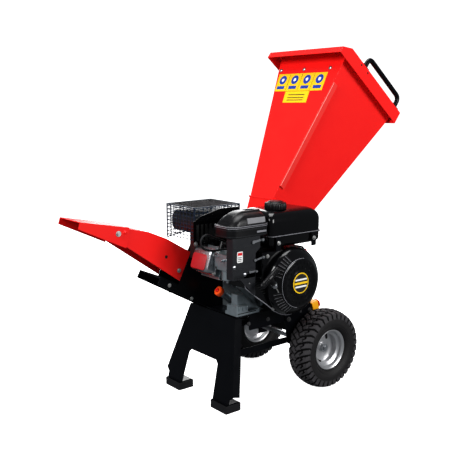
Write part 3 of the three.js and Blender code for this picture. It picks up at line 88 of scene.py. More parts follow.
def surface(name, base, shade, roughness, metallic=0.0, coat=0.0, patch=60.0, grain=900.0, bump=0.08,
            spread=0.12, edge_highlight=None, edge_highlight_from=0.56, specular=0.5, glow=0.0):
    """A finish with patchy colour, uneven gloss and a fine relief; the edge colour argument is a painted highlight
    laid on sharp convex edges.
    """
    mat, nodes, link, shader = new_material(name)
    where = nodes.new("ShaderNodeTexCoord")
    broad = nodes.new("ShaderNodeTexNoise")
    broad.inputs["Scale"].default_value = patch
    broad.inputs["Detail"].default_value = 5.0
    link(where, "Object", broad, "Vector")
    fine = nodes.new("ShaderNodeTexNoise")
    fine.inputs["Scale"].default_value = grain
    fine.inputs["Detail"].default_value = 3.0
    link(where, "Object", fine, "Vector")
    colour = nodes.new("ShaderNodeMix")
    colour.data_type = "RGBA"
    colour.inputs["A"].default_value = (*base, 1)
    colour.inputs["B"].default_value = (*shade, 1)
    link(broad, "Fac", colour, "Factor")
    result = colour
    # painted highlight: a lighter colour on sharp convex edges, found by pointiness
    if edge_highlight:
        form = nodes.new("ShaderNodeNewGeometry")
        edge = nodes.new("ShaderNodeMapRange")
        edge.inputs["From Min"].default_value = edge_highlight_from
        edge.inputs["From Max"].default_value = edge_highlight_from + 0.12
        link(form, "Pointiness", edge, "Value")
        lit_edge = nodes.new("ShaderNodeMix")
        lit_edge.data_type = "RGBA"
        lit_edge.inputs["B"].default_value = (*edge_highlight, 1)
        link(edge, "Result", lit_edge, "Factor")
        link(colour, "Result", lit_edge, "A")
        result = lit_edge
    link(result, "Result", shader, "Base Color")
    gloss = nodes.new("ShaderNodeMapRange")
    gloss.inputs["To Min"].default_value = max(roughness - spread, 0.02)
    gloss.inputs["To Max"].default_value = min(roughness + spread, 1.0)
    link(broad, "Fac", gloss, "Value")
    link(gloss, "Result", shader, "Roughness")
    relief = nodes.new("ShaderNodeBump")
    relief.inputs["Strength"].default_value = bump
    relief.inputs["Distance"].default_value = 0.0006
    link(fine, "Fac", relief, "Height")
    link(relief, "Normal", shader, "Normal")
    shader.inputs["Metallic"].default_value = metallic
    shader.inputs["Specular IOR Level"].default_value = specular
    shader.inputs["Emission Color"].default_value = (1, 1, 1, 1)
    shader.inputs["Emission Strength"].default_value = glow
    shader.inputs["Coat Weight"].default_value = coat
    shader.inputs["Coat Roughness"].default_value = 0.06
    return mat


# the red's pale pink edge colour is a painted highlight
RED = surface("red_gloss", (0.88, 0.020, 0.016), (0.82, 0.010, 0.010), 0.30, coat=0.12, patch=14, bump=0.04,
              spread=0.05, edge_highlight=(0.95, 0.30, 0.24), edge_highlight_from=0.60, specular=0.3)
RED_BAR = surface("red_worn_bar", (0.84, 0.055, 0.045), (0.72, 0.028, 0.022), 0.36, patch=45, spread=0.16,
                  bump=0.12, specular=0.35)
# painted highlight: a pale red colour for a lit edge line
RED_EDGE_HIGHLIGHT = surface("red_edge_highlight", (0.88, 0.42, 0.38), (0.80, 0.06, 0.05), 0.5, patch=60, spread=0.3, bump=0.3)
# the black frame's bluish edge colour is a painted highlight
BLACK = surface("black_gloss_frame", (0.0016, 0.0019, 0.003), (0.003, 0.0034, 0.005), 0.30, patch=25,
                bump=0.05, spread=0.08, edge_highlight=(0.07, 0.12, 0.20), edge_highlight_from=0.60, specular=0.16)
ENGINE_BLACK = surface("black_gloss_engine", (0.0015, 0.0015, 0.002), (0.003, 0.003, 0.0035), 0.14, coat=0.1,
                       patch=20, bump=0.03, spread=0.05, specular=0.3)
PLASTIC = surface("black_plastic", (0.0035, 0.0035, 0.004), (0.006, 0.006, 0.007), 0.34, patch=90, grain=1600,
                  bump=0.14, specular=0.3)
DARK_GREY = surface("dark_grey_plastic", (0.009, 0.010, 0.013), (0.014, 0.015, 0.018), 0.46, patch=80,
                    grain=1800, bump=0.2, specular=0.35)
MESH_ROOF = surface("mesh_roof", (0.010, 0.010, 0.011), (0.018, 0.018, 0.020), 0.8, patch=90, bump=0.2,
                    specular=0.08)
# painted highlight: light grey lines laid along lit edges, seams and rings
HIGHLIGHT_GREY = surface("painted_highlight_grey", (0.26, 0.26, 0.28), (0.18, 0.18, 0.20), 0.34, patch=60, bump=0.1)
ALLOY = surface("cast_alloy", (0.46, 0.52, 0.55), (0.24, 0.28, 0.30), 0.36, metallic=0.85, patch=45,
                grain=1100, bump=0.35)
STEEL = surface("plated_steel", (0.52, 0.53, 0.55), (0.36, 0.37, 0.39), 0.30, metallic=1.0, patch=70,
                grain=1500, bump=0.12)
ZINC = surface("zinc_bolts", (0.62, 0.62, 0.60), (0.42, 0.42, 0.42), 0.38, metallic=1.0, patch=160, bump=0.2)
DARK_BOLT = surface("dark_bolts", (0.06, 0.06, 0.065), (0.10, 0.10, 0.10), 0.4, metallic=0.6, patch=160)
TOOL = surface("ground_steel", (0.48, 0.49, 0.51), (0.36, 0.37, 0.39), 0.3, metallic=1.0, patch=120, bump=0.2)
CHROME = surface("bright_rim", (0.66, 0.66, 0.67), (0.50, 0.50, 0.51), 0.34, metallic=0.9, patch=30, bump=0.06,
                 spread=0.08)
TYRE = surface("tyre_rubber", (0.009, 0.008, 0.009), (0.017, 0.016, 0.016), 0.6, patch=70, grain=1400,
               bump=0.3, specular=0.3)
# painted light: a lighter copy of the tyre rubber for the tread tops
TREAD_PAINTED_LIGHT = surface("tread_block_painted_light", (0.036, 0.034, 0.037), (0.052, 0.049, 0.052), 0.72, patch=90, grain=1400,
                      bump=0.3, specular=0.35)
# painted shade: a near-black copy of the tyre rubber for the tread grooves
TREAD_GROOVE_SHADE = surface("tread_groove_painted_shade", (0.003, 0.003, 0.003), (0.006, 0.006, 0.006), 0.85, patch=90, bump=0.2,
                       specular=0.1)
RUBBER = surface("rubber", (0.006, 0.006, 0.007), (0.012, 0.012, 0.014), 0.6, patch=80, grain=1700, bump=0.3,
                 specular=0.3)
SOOT = surface("muffler_steel", (0.10, 0.10, 0.10), (0.05, 0.05, 0.05), 0.4, metallic=0.9, patch=40, bump=0.2)
ORANGE = surface("orange_plastic", (0.88, 0.12, 0.01), (0.75, 0.07, 0.01), 0.4, patch=90, bump=0.1)
RED_PLASTIC = surface("red_plastic", (0.72, 0.012, 0.014), (0.60, 0.008, 0.010), 0.32, patch=90, bump=0.08)
RED_PANEL = surface("red_panel", (0.40, 0.016, 0.022), (0.32, 0.010, 0.014), 0.42, patch=60, bump=0.08)
YELLOW = surface("yellow_plastic", (0.93, 0.45, 0.012), (0.86, 0.36, 0.010), 0.4, patch=70, bump=0.1)
LABEL_YELLOW = surface("label_yellow", (0.93, 0.62, 0.012), (0.88, 0.54, 0.010), 0.36, patch=50, bump=0.04)
LABEL_BLUE = surface("label_blue", (0.012, 0.06, 0.42), (0.010, 0.05, 0.34), 0.36, patch=50, bump=0.04)
LABEL_WHITE = surface("label_white", (0.86, 0.86, 0.85), (0.76, 0.76, 0.75), 0.4, patch=50, bump=0.04)
LABEL_BLACK = surface("label_black", (0.012, 0.012, 0.012), (0.022, 0.022, 0.022), 0.34, patch=50, bump=0.04)
LABEL_RED = surface("label_red", (0.70, 0.012, 0.016), (0.60, 0.010, 0.012), 0.36, patch=50, bump=0.04)
LABEL_GREY = surface("label_grey", (0.22, 0.22, 0.23), (0.15, 0.15, 0.16), 0.4, patch=50, bump=0.05)
ROPE = surface("starter_rope", (0.22, 0.22, 0.21), (0.10, 0.10, 0.10), 0.8, patch=400, grain=2400, bump=0.5)
DARK = surface("shadow_hole", (0.004, 0.004, 0.004), (0.008, 0.008, 0.008), 0.9, patch=60)
FLOOR = surface("pale_floor", (0.93, 0.93, 0.93), (0.91, 0.91, 0.91), 0.7, patch=2, grain=200, bump=0.01, glow=0.78)

SLOT_LOOKS = {
    "red_paint": RED, "black_paint": BLACK, "engine_black": ENGINE_BLACK, "cast_alloy": ALLOY, "steel": STEEL,
    "tool_steel": TOOL, "chrome": CHROME, "tyre": TYRE, "rubber": RUBBER, "black_plastic": PLASTIC,
    "orange_plastic": ORANGE, "red_plastic": RED_PLASTIC, "yellow_plastic": YELLOW,
}
NODE_LOOKS = {
    "hopper_edge_angle": RED_BAR, "intake_elbow": DARK_GREY, "muffler": SOOT, "air_cleaner_base": PLASTIC,
}
NODE_EASE = {                                               # bevel width on CAD edges, mm
    "hopper_shell": 0.8, "hopper_rim": 1.2, "engine_deck": 1.0, "crankcase": 3.0, "side_cover": 2.5,
    "cylinder_shroud": 0.8, "stop_box": 3.0, "carburettor": 1.2, "foot_pad_near": 2.0, "foot_pad_far": 2.0,
    "air_cleaner_base": 1.5, "muffler": 3.0, "rotor": 1.5, "fan_shroud": 1.6, "throat": 0.8, "chute": 0.8,
    "chute_deflector": 0.7, "leg_stand": 1.2, "cylinder": 0.6, "cylinder_head": 0.6, "intake_elbow": 2.0,
}


# ---------------------------------------------------------------- CAD nodes: finishes and eased edges
def smoothing_nodes():
    """A node tree that joins split corners and shades smoothly across faces that meet at under 32 degrees."""
    tree = bpy.data.node_groups.new("smooth_shading", "GeometryNodeTree")
    tree.interface.new_socket("Geometry", in_out="INPUT", socket_type="NodeSocketGeometry")
    tree.interface.new_socket("Geometry", in_out="OUTPUT", socket_type="NodeSocketGeometry")
    start = tree.nodes.new("NodeGroupInput")
    end = tree.nodes.new("NodeGroupOutput")
    bare = tree.nodes.new("GeometryNodeRemoveAttribute")
    bare.inputs["Name"].default_value = "custom_normal"
    merge = tree.nodes.new("GeometryNodeMergeByDistance")
    merge.inputs["Distance"].default_value = 0.00001
    smooth = tree.nodes.new("GeometryNodeSetShadeSmooth")
    angle = tree.nodes.new("GeometryNodeInputMeshEdgeAngle")
    steep = tree.nodes.new("FunctionNodeCompare")
    steep.data_type = "FLOAT"
    steep.operation = "GREATER_THAN"
    steep.inputs["B"].default_value = math.radians(32)
    sharp = tree.nodes.new("GeometryNodeSetShadeSmooth")
    sharp.domain = "EDGE"
    sharp.inputs["Shade Smooth"].default_value = False
    tree.links.new(start.outputs[0], bare.inputs["Geometry"])
    tree.links.new(bare.outputs["Geometry"], merge.inputs["Geometry"])
    tree.links.new(merge.outputs["Geometry"], smooth.inputs["Geometry"])
    tree.links.new(smooth.outputs["Geometry"], sharp.inputs["Geometry"])
    tree.links.new(angle.outputs["Unsigned Angle"], steep.inputs["A"])
    tree.links.new(steep.outputs["Result"], sharp.inputs["Selection"])
    tree.links.new(sharp.outputs["Geometry"], end.inputs[0])
    return tree


def ease(obj, width, segments=2):
    """Rounds the sharp edges of obj by that many millimetres, for the highlight along them."""
    bevel = obj.modifiers.new("eased_edges", "BEVEL")
    bevel.width = width * MM
    bevel.segments = segments
    bevel.limit_method = "ANGLE"
    bevel.angle_limit = math.radians(32)
    bevel.harden_normals = True
    return obj


def dress_cad_nodes():
    """Gives every CAD node its finish and eased edges."""
    smoothing = smoothing_nodes()
    slots = {part["node"]: part["material_slot"] for part in RECORD["subparts"]}
    for name, obj in NODES.items():
        look = NODE_LOOKS.get(name, SLOT_LOOKS[slots[name]])
        obj.data.materials.clear()
        obj.data.materials.append(look)
        joined = obj.modifiers.new("smooth_shading", "NODES")
        joined.node_group = smoothing
        ease(obj, NODE_EASE.get(name, 0.6))


# ---------------------------------------------------------------- shape collector
class Shapes:
    """Collects shapes, given in millimetres in one frame, and makes them one mesh piece."""

    def __init__(self, place, *looks):
        self.place = place
        self.looks = looks
        self.look = 0
        self.bm = bmesh.new()

    def use(self, look):
        self.look = look
        return self

    def add(self, points, faces):
        verts = [self.bm.verts.new(Vector(p) * MM) for p in points]
        for face in faces:
            made = self.bm.faces.new([verts[i] for i in face])
            made.material_index = self.look
            made.smooth = True
        return self

    def loft(self, rings, closed=False, capped=True):
        """Skin through rings of equal length; closed joins the last ring to the first."""
        n = len(rings[0])
        faces = []
        runs = len(rings) if closed else len(rings) - 1
        for i in range(runs):
            a, b = i * n, ((i + 1) % len(rings)) * n
            faces += [(a + k, a + (k + 1) % n, b + (k + 1) % n, b + k) for k in range(n)]
        if capped and not closed:
            last = (len(rings) - 1) * n
            faces += [tuple(range(n - 1, -1, -1)), tuple(range(last, last + n))]
        return self.add([p for ring in rings for p in ring], faces)

    def prism(self, axis, outline, span):
        """Outline run along an axis: [y, z] for X, [x, z] for Y and [x, y] for Z."""
        def at(p, s):
            return {"X": (s, p[0], p[1]), "Y": (p[0], s, p[1]), "Z": (p[0], p[1], s)}[axis]
        return self.loft([[at(p, s) for p in outline] for s in span])

    def box(self, x, y, z):
        return self.prism("Z", [(x[0], y[0]), (x[1], y[0]), (x[1], y[1]), (x[0], y[1])], z)

    def rod(self, a, b, radius, sides=20, radius_b=None):
        return self.lathe(a, Vector(b) - Vector(a),
                          [(radius, 0), (radius if radius_b is None else radius_b,
                                         (Vector(b) - Vector(a)).length)], sides, ends=True)

    def lathe(self, centre, axis, profile, sides=48, ends=False, closed=False):
        """Profile of (radius, height) turned round an axis; ends caps both open ends."""
        axis = Vector(axis).normalized()
        u = axis.orthogonal().normalized()
        v = axis.cross(u)
        rings = []
        for radius, height in profile:
            rings.append([Vector(centre) + axis * height
                          + (u * math.cos(k * math.tau / sides) + v * math.sin(k * math.tau / sides)) * radius
                          for k in range(sides)])
        return self.loft(rings, closed=closed, capped=ends)

    def tube(self, points, radius, sides=12):
        """Round bar through the points."""
        points = [Vector(p) for p in points]
        rings = []
        side = None
        for i, p in enumerate(points):
            along = (points[min(i + 1, len(points) - 1)] - points[max(i - 1, 0)]).normalized()
            if side is None:
                side = along.orthogonal().normalized()
            side = (side - along * side.dot(along)).normalized()
            other = along.cross(side)
            rings.append([p + (side * math.cos(k * math.tau / sides) + other * math.sin(k * math.tau / sides))
                          * radius for k in range(sides)])
        return self.loft(rings)

    def bolt(self, centre, normal, radius=6.0, height=4.5, washer=True):
        """Hexagon head on a washer."""
        c, n = Vector(centre), Vector(normal).normalized()
        if washer:
            self.rod(c, c + n * 1.2, radius * 1.35, 24)
        self.rod(c + n * 1.1, c + n * (1.1 + height), radius, 6)
        return self.rod(c + n * height, c + n * (height + 2.2), radius * 0.55, 16)

    def dome(self, centre, normal, radius=6.0, height=3.6):
        """Round head."""
        steps = 5
        profile = [(radius * math.cos(i / steps * math.pi / 2), height * math.sin(i / steps * math.pi / 2))
                   for i in range(steps)] + [(0.3, height)]
        return self.lathe(centre, normal, [(radius, -0.6)] + profile, 24, ends=True)

    def make(self, name, body, eased=0.0, replaces=()):
        """Closes the collection into one object that rides on a body, if one is named."""
        bmesh.ops.recalc_face_normals(self.bm, faces=self.bm.faces[:])
        data = bpy.data.meshes.new(name)
        self.bm.to_mesh(data)
        self.bm.free()
        data.transform(self.place)
        data.set_sharp_from_angle(angle=math.radians(34))
        for look in self.looks:
            data.materials.append(look)
        obj = bpy.data.objects.new(name, data)
        bpy.context.scene.collection.objects.link(obj)
        if eased:
            ease(obj, eased)
        if replaces:
            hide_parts(*replaces)
        if body:
            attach(obj, body)
        return obj


def rounded(a, b, radius, steps=6):
    """Outline of the rectangle [a0, a1] x [b0, b1] with rounded corners."""
    points = []
    for ca, cb, quarter in ((a[1] - radius, b[1] - radius, 0), (a[0] + radius, b[1] - radius, 1),
                            (a[0] + radius, b[0] + radius, 2), (a[1] - radius, b[0] + radius, 3)):
        for i in range(steps + 1):
            angle = (quarter + i / steps) * math.pi / 2
            points.append((ca + radius * math.cos(angle), cb + radius * math.sin(angle)))
    return points


def smooth_path(points, per_span=6):
    """Catmull-Rom curve through the points."""
    pts = [Vector(p) for p in points]
    pts = [pts[0] * 2 - pts[1], *pts, pts[-1] * 2 - pts[-2]]
    path = []
    for i in range(1, len(pts) - 2):
        p0, p1, p2, p3 = pts[i - 1:i + 3]
        for k in range(per_span):
            t = k / per_span
            path.append(0.5 * ((2 * p1) + (p2 - p0) * t + (2 * p0 - 5 * p1 + 4 * p2 - p3) * t * t
                               + (3 * p1 - p0 - 3 * p2 + p3) * t ** 3))
    path.append(pts[-2])
    return path


def bend(points, radius, steps=8):
    """Straight runs through the points with rounded corners."""
    pts = [Vector(p) for p in points]
    path = [pts[0]]
    for before, corner, after in zip(pts, pts[1:], pts[2:]):
        start = corner + (before - corner).normalized() * radius
        stop = corner + (after - corner).normalized() * radius
        for k in range(steps + 1):
            t = k / steps
            path.append(start * (1 - t) ** 2 + corner * 2 * t * (1 - t) + stop * t * t)
    return path + [pts[-1]]


# ---------------------------------------------------------------- wheels
TYRE_RADIUS = 130
TYRE_HALF = 42


def tyre_profile():
    """Outer line of the tyre section from bead to bead, as (radius, y, tread share)."""
    half = [(61, 25, 0), (66.5, 27.5, 0), (69, 33, 0), (74, 38, 0), (80, 40.5, 0), (81, 39.8, 0), (84, 41.4, 0),
            (92, 42, 0), (99, 41.6, 0), (100, 40.8, 0), (102, 41.2, 0.5), (108, 40.4, 0.9), (112, 39.4, 1.0)]
    crown = []
    for i in range(19):
        angle = math.radians(62 - 62 * i / 18)
        crown.append((130 - 15 * (1 - math.cos(angle)) ** 0.9 - 1.2 * math.sin(angle), 38.5 * math.sin(angle)
                      / math.sin(math.radians(62)), 1.0))
    line = half + crown
    return line + [(r, -y, t) for r, y, t in reversed(line[:-1])]


def tread_depth(angle, y):
    """Depth of the tread pattern at an angle (turns) and place across, from 0 (block) to 1 (groove)."""
    blocks = 34
    u = angle * blocks
    across = y / TYRE_HALF
    wave = abs((u % 1.0) * 2 - 1)
    zigzag = abs(y - 5.5 * (wave * 2 - 1)) - 2.2
    skew = (u + 0.9 * abs(across) + (0.5 if y > 0 else 0.0)) % 1.0
    slash = abs(skew - 0.5) * 2 * 11 - 2.8
    inner = 99.0
    if 14 < abs(y) < 30:
        inner = abs(abs(y) - 21 - 4.5 * math.sin(u * math.tau)) - 2.0
    distance = min(zigzag, slash if abs(y) > 6 else 99.0, inner)
    return min(max(0.5 - distance / 1.2, 0.0), 1.0)


def build_tyre(name, place, body):
    tyre = Shapes(place, TYRE, TREAD_PAINTED_LIGHT, TREAD_GROOVE_SHADE)
    steps = 408
    profile = tyre_profile()
    lining = [(68, 15), (100, 29), (116, 19), (116, -19), (100, -29), (68, -15)]
    rings = []
    for k in range(steps):
        turn = k / steps
        c, s = math.cos(turn * math.tau), math.sin(turn * math.tau)
        ring = []
        for radius, y, tread in profile:
            r = radius - 5.0 * tread * tread_depth(turn, y)
            ring.append((r * c, y, r * s))
        for radius, y in reversed(lining):
            ring.append((radius * c, y, radius * s))
        rings.append(ring)
    tyre.loft(rings, closed=True)
    for side in (-1, 1):
        for radius in (88.5, 104.5):
            tyre.lathe((0, side * 41.2, 0), (0, side, 0),
                       [(radius - 0.8, -1.5), (radius - 0.5, 0.6), (radius + 0.5, 0.6), (radius + 0.8, -1.5)],
                       120, closed=True)
    # painted light and shade: tread tops take the lighter rubber copy, grooves the near-black one
    for face in tyre.bm.faces:
        c = face.calc_center_median() / MM
        if math.hypot(c.x, c.z) > 104 or (math.hypot(c.x, c.z) > 100 and abs(c.y) < 38):
            turn = math.atan2(c.z, c.x) / math.tau % 1.0
            face.material_index = 2 if tread_depth(turn, c.y) > 0.45 else 1
    tyre.make(f"tread_{name}", body, replaces=[f"tyre_{name}"])


def build_rim(name, place, body, outward):
    """Pressed rim: rolled edges, dished disc, hub tube with its bearing, and a valve."""
    rim = Shapes(place, CHROME, DARK, STEEL)
    o = outward
    barrel = [(66, -31), (66, -28.6), (64.5, -28), (62, -26.4), (60.2, -24), (60, -16), (57, -12.5), (51, -10), (51, 10),
              (57, 12.5), (60, 16), (60.2, 24), (62, 26.4), (64.5, 28), (66, 28.6), (66, 31), (64.6, 31.2), (60.6, 29),
              (58, 26), (57.6, 17), (54, 14.2), (48.6, 11.6), (48.6, -11.6), (54, -14.2), (57.6, -17), (58, -26),
              (60.6, -29), (64.6, -31.2)]
    rim.lathe((0, 0, 0), (0, 1, 0), barrel, 96, closed=True)
    face_line = [(16, -9.2), (30, -9.2), (35, -8.8), (40, -7.6), (45, -5.8), (49.6, -5.4)]
    back_line = [(49.6, -8.0), (45, -8.4), (40, -10.0), (35, -11.3), (30, -11.8), (16, -11.8)]
    rim.lathe((0, 0, 0), (0, o, 0), face_line + back_line, 96, closed=True)
    rim.lathe((0, 0, 0), (0, o, 0), [(16.6, -35), (17, -34.4), (17, -2.8), (16.4, -2.1), (8.4, -2.1), (8.4, -35)], 48,
              closed=True)
    for end, out in ((-2.6, 1), (-34.6, -1)):
        rim.use(2).lathe((0, o * end, 0), (0, o * out, 0),
                         [(15.4, 0.1), (15.4, 0.6), (14.2, 0.6), (14.2, -0.2), (12.2, -0.2), (12.2, 0.6), (9, 0.6),
                          (9, 0.1)], 40, closed=True)

    def face_height(radius):
        for (r0, h0), (r1, h1) in zip(face_line, face_line[1:]):
            if r0 <= radius <= r1:
                return h0 + (h1 - h0) * (radius - r0) / (r1 - r0)
        return face_line[-1][1]

    lean = math.radians(-18)
    along = Vector((math.sin(lean), 0, math.cos(lean)))
    across = Vector((math.cos(lean), 0, -math.sin(lean)))
    centre = Vector((21, 0, 31))
    slot = [centre + along * y + across * x for x, y in rounded((-4.4, 4.4), (-10, 10), 4.3)]
    rim.use(1).loft([[p + Vector((0, o * (face_height(p.length) + lift), 0)) for p in slot] for lift in (0.35, -4)])
    valve = Vector((-22, 0, -40))
    rim.use(1).rod(valve + Vector((0, o * -8, 0)), valve + Vector((0, o * 10, 0)), 3.4, 16, radius_b=2.6)
    rim.make(f"pressed_{name}", body, eased=0.25, replaces=[f"rim_{name}"])


def build_wheels():
    build_tyre("near", NEAR_WHEEL, "wheel_near")
    build_tyre("far", FAR_WHEEL, "wheel_far")
    build_rim("near", NEAR_WHEEL, "wheel_near", -1)
    build_rim("far", FAR_WHEEL, "wheel_far", 1)


# ---------------------------------------------------------------- hopper
WALL_LEAN = math.atan2(115, 533)          # the hopper's left wall from its own mouth normal


def on_left_wall(y, z):
    """Point on the outside of the hopper's left wall, in the hopper frame, and its outward normal."""
    return Vector((-87 - 115 * z / 533, y, z)), Vector((-math.cos(WALL_LEAN), 0, -math.sin(WALL_LEAN)))


def wall_plate(shapes, corners, lift, thickness):
    """Flat plate on the left wall; corners are (y, z)."""
    low, high = [], []
    for y, z in corners:
        p, n = on_left_wall(y, z)
        low.append(p + n * lift)
        high.append(p + n * (lift + thickness))
    shapes.loft([low, high])


def wall_disc(shapes, y, z, radius, lift, thickness):
    steps = 28
    wall_plate(shapes, [(y + radius * math.cos(k * math.tau / steps), z + radius * math.sin(k * math.tau / steps))
                        for k in range(steps)], lift, thickness)


def build_hopper_trim():
    bolts = Shapes(HOPPER, RED, DARK, ZINC, RED_EDGE_HIGHLIGHT)
    for y in (137, 20, -104):
        p, n = on_left_wall(y, 473)
        bolts.use(2).dome(p, n, 7.2, 4.2)
    # painted highlight: a thin pale red line along the hopper's near corner edge
    low, high = Vector((-87, -56.5, 0)), Vector((-202, -162.5, 533))
    out = Vector((0, -533, -106)).normalized()
    lit_edge = [low.lerp(high, t) + out * 6.6 + Vector((0.5, 0, 0)) for t in (0.095, 0.3, 0.5, 0.7, 0.785)]
    bolts.use(3).tube(lit_edge, 0.9, 8)
    for x in (-137, -95.5):
        bolts.use(1).dome((x, -177.4, 526), (0, -1, 0), 3.4, 1.6)
    bolts.make("hopper_bolts", "chassis")

    plate = Shapes(HOPPER, LABEL_YELLOW, LABEL_BLUE, LABEL_WHITE, LABEL_BLACK)
    wall_plate(plate.use(0), [(138, 458), (-101, 458), (-101, 391), (131, 391)], 0.1, 0.6)
    for i in range(4):
        y = 107 - 60 * i
        wall_disc(plate.use(1), y, 434, 17, 0.5, 0.5)
        wall_disc(plate.use(2), y, 434, 6.5, 0.8, 0.5)
        wall_plate(plate.use(1), [(y + 19, 411), (y - 19, 411), (y - 19, 399), (y + 19, 399)], 0.5, 0.5)
    for y in (77, 17, -43):
        wall_plate(plate.use(3), [(y + 0.7, 456), (y - 0.7, 456), (y - 0.7, 393), (y + 0.7, 393)], 0.5, 0.4)
    wall_plate(plate.use(0), [(73, 389.6), (-45, 389.6), (-48, 347), (68, 347)], 0.1, 0.6)
    for z in (378, 367, 358):
        wall_plate(plate.use(3), [(52, z), (-28, z), (-28, z - 3), (52, z - 3)], 0.5, 0.3)
    plate.make("hopper_label", "chassis")

    handle = Shapes(HOPPER, BLACK, ZINC)
    y = -168
    foot = 537.3
    path = bend([(-112, y, foot + 0.6), (-112, y, foot + 40), (99, y, foot + 40), (99, y, foot + 0.6)], 22, 12)
    handle.tube(path, 8.5, 28)
    for x in (-112, 99):
        handle.use(0).prism("Z", rounded((x - 20, x + 20), (y - 8, y + 8), 6), (foot, foot + 3))
        for side in (-1, 1):
            handle.use(1).bolt((x + side * 14.5, y, foot + 3), (0, 0, 1), 3.6, 2.6, washer=False)
    handle.make("hopper_grab_handle", "chassis", eased=0.4, replaces=["hopper_handle"])


# ---------------------------------------------------------------- chamber and chute
def build_chute_trim():
    trim = Shapes(ENGINE, RED, DARK, ZINC)
    near, far = 22, 140
    for y, n in ((near - 0.0, -1), (far, 1)):
        trim.use(2).bolt((-261.8, y, 30), (0, n, 0), 5.2, 3.4)
        trim.use(1).rod((-307.4, y, 78.4), (-307.4, y + n * 0.35, 78.4), 5.0, 24)
    for y, n in ((near - 2.7, -1), (far + 2.7, 1)):
        trim.use(0).dome((-449.4, y, 168.6), (0, n, 0), 5.6, 3.4)
    trim.make("chute_bolts", "chassis")
    pivots = Shapes(ENGINE, RED, ZINC)
    for y, n in ((near - 2.6, -1), (far + 2.6, 1)):
        pivots.use(1).bolt((-471, y, 167), (0, n, 0), 6.2, 4.0)
    pivots.make("deflector_pivots", "deflector")

    chamber = Shapes(ENGINE, BLACK, ZINC, DARK_BOLT)
    for y, n in ((near, -1), (far, 1)):
        for x, z in ((-215.1, -66), (-297.7, -11)):
            chamber.use(1).bolt((x, y, z), (0, n, 0), 4.6, 3.2)
        for angle in (232, 268, 300, 330, 74, 100, 124, 148):
            a = math.radians(angle)
            chamber.use(1).bolt((149 * math.cos(a), y, 149 * math.sin(a)), (0, n, 0), 4.6, 3.2)
    chamber.use(0).lathe((0, far, 0), (0, 1, 0), [(30, 0), (30, 6), (26, 9), (14, 9)], 48, ends=True)
    chamber.make("chamber_bolts", "chassis")

    flange = Shapes(ENGINE, ZINC)
    left, right = Vector((101, 0, 153)), Vector((194, 0, 36))
    u = (right - left).normalized()
    n = Vector((-u.z, 0, u.x))
    for y in (22 - 1, 140 + 1):
        for s in (-8, 75, 157):
            p = left + u * s + n * 5.2
            flange.bolt((p.x, y - 0.4, p.z), n, 3.6, 2.8)
    flange.make("throat_bolts", "chassis")


# ---------------------------------------------------------------- engine: starter side
def build_recoil_cover():
    cover = Shapes(ENGINE, ENGINE_BLACK, LABEL_YELLOW, LABEL_WHITE, LABEL_BLACK, DARK, HIGHLIGHT_GREY)
    front, end = -196.3, -240.3
    profile = [(104, 0), (103.6, 8), (102, 14), (98, 21), (91, 29), (84, 34.5), (77, 39), (73.5, 42.6), (70, 44),
               (56, 44), (54.6, 43.2), (40, 43.2), (38.6, 44), (0.5, 44)]
    cover.lathe((0, front, 0), (0, -1, 0), profile, 96, ends=True)
    for ring, (radius, count, length) in enumerate(((47, 18, 9), (62, 26, 9))):
        for k in range(count):
            angle = k * math.tau / count + ring * 0.1
            radial = Vector((math.cos(angle), 0, math.sin(angle)))
            side = Vector((-radial.z, 0, radial.x))
            half, wide = length / 2, 2.6
            lift = 43.2 if ring == 0 else 44
            corners = [radial * (radius + a * half) + side * (b * wide)
                       for a, b in ((-1, -1), (1, -1), (1, 1), (-1, 1))]
            cover.use(0).loft([[Vector((c.x, front - lift + 0.4, c.z)) for c in corners],
                               [Vector((c.x, front - lift - 0.9, c.z)) for c in corners]])
    slots = [math.radians(a) for a in (118, 125, 132, 139, 146, 153, 160, 196, 203, 210, 217, 224, 231, 238, 245)]
    for angle in slots:
        radial = Vector((math.cos(angle), 0, math.sin(angle)))
        side = Vector((-radial.z, 0, radial.x))
        rise = Vector((0, -1, 0))
        inner = radial * 78 + rise * 38.9
        outer = radial * 96 + rise * 23.6
        lift = (radial * 0.6 + rise * 0.8) * 0.9
        # each vent slot gets a painted shadow (look 4) and a painted highlight strip along one side (look 5)
        for look, low, high in ((4, -3.4, 1.2), (2, 1.2, 1.9)):
            corners = [inner + side * low * 0.8, outer + side * low, outer + side * high, inner + side * high * 0.8]
            thick = lift if look == 4 else lift * 1.5
            cover.use(look if look == 4 else 5).loft([[c + Vector((0, front, 0)) - lift * 0.6 for c in corners],
                                                      [c + Vector((0, front, 0)) + thick for c in corners]])
    # painted highlight: a light grey arc along the embossed ring's lit edge
    ring = [(75 * math.cos(math.radians(a)), front - 42.4, 75 * math.sin(math.radians(a))) for a in range(80, 262, 4)]
    cover.use(5).tube(ring, 0.8, 8)
    cover.use(1).rod((0, end + 1, 0), (0, end - 0.9, 0), 32, 64)
    cover.use(3).rod((0, end + 1, 0), (0, end - 1.2, 0), 28.5, 64)
    for z0, z1, look in ((8, 13.5, 2), (-3.2, 3.2, 1), (-13.5, -8, 2)):
        half0, half1 = math.sqrt(27.5 ** 2 - z0 ** 2), math.sqrt(27.5 ** 2 - z1 ** 2)
        half = min(half0, half1)
        cover.use(look).box((-half, half), (end - 1.5, end), (z0, z1))
    cover.make("starter_cover", "chassis", eased=0.35, replaces=["recoil_cover"])


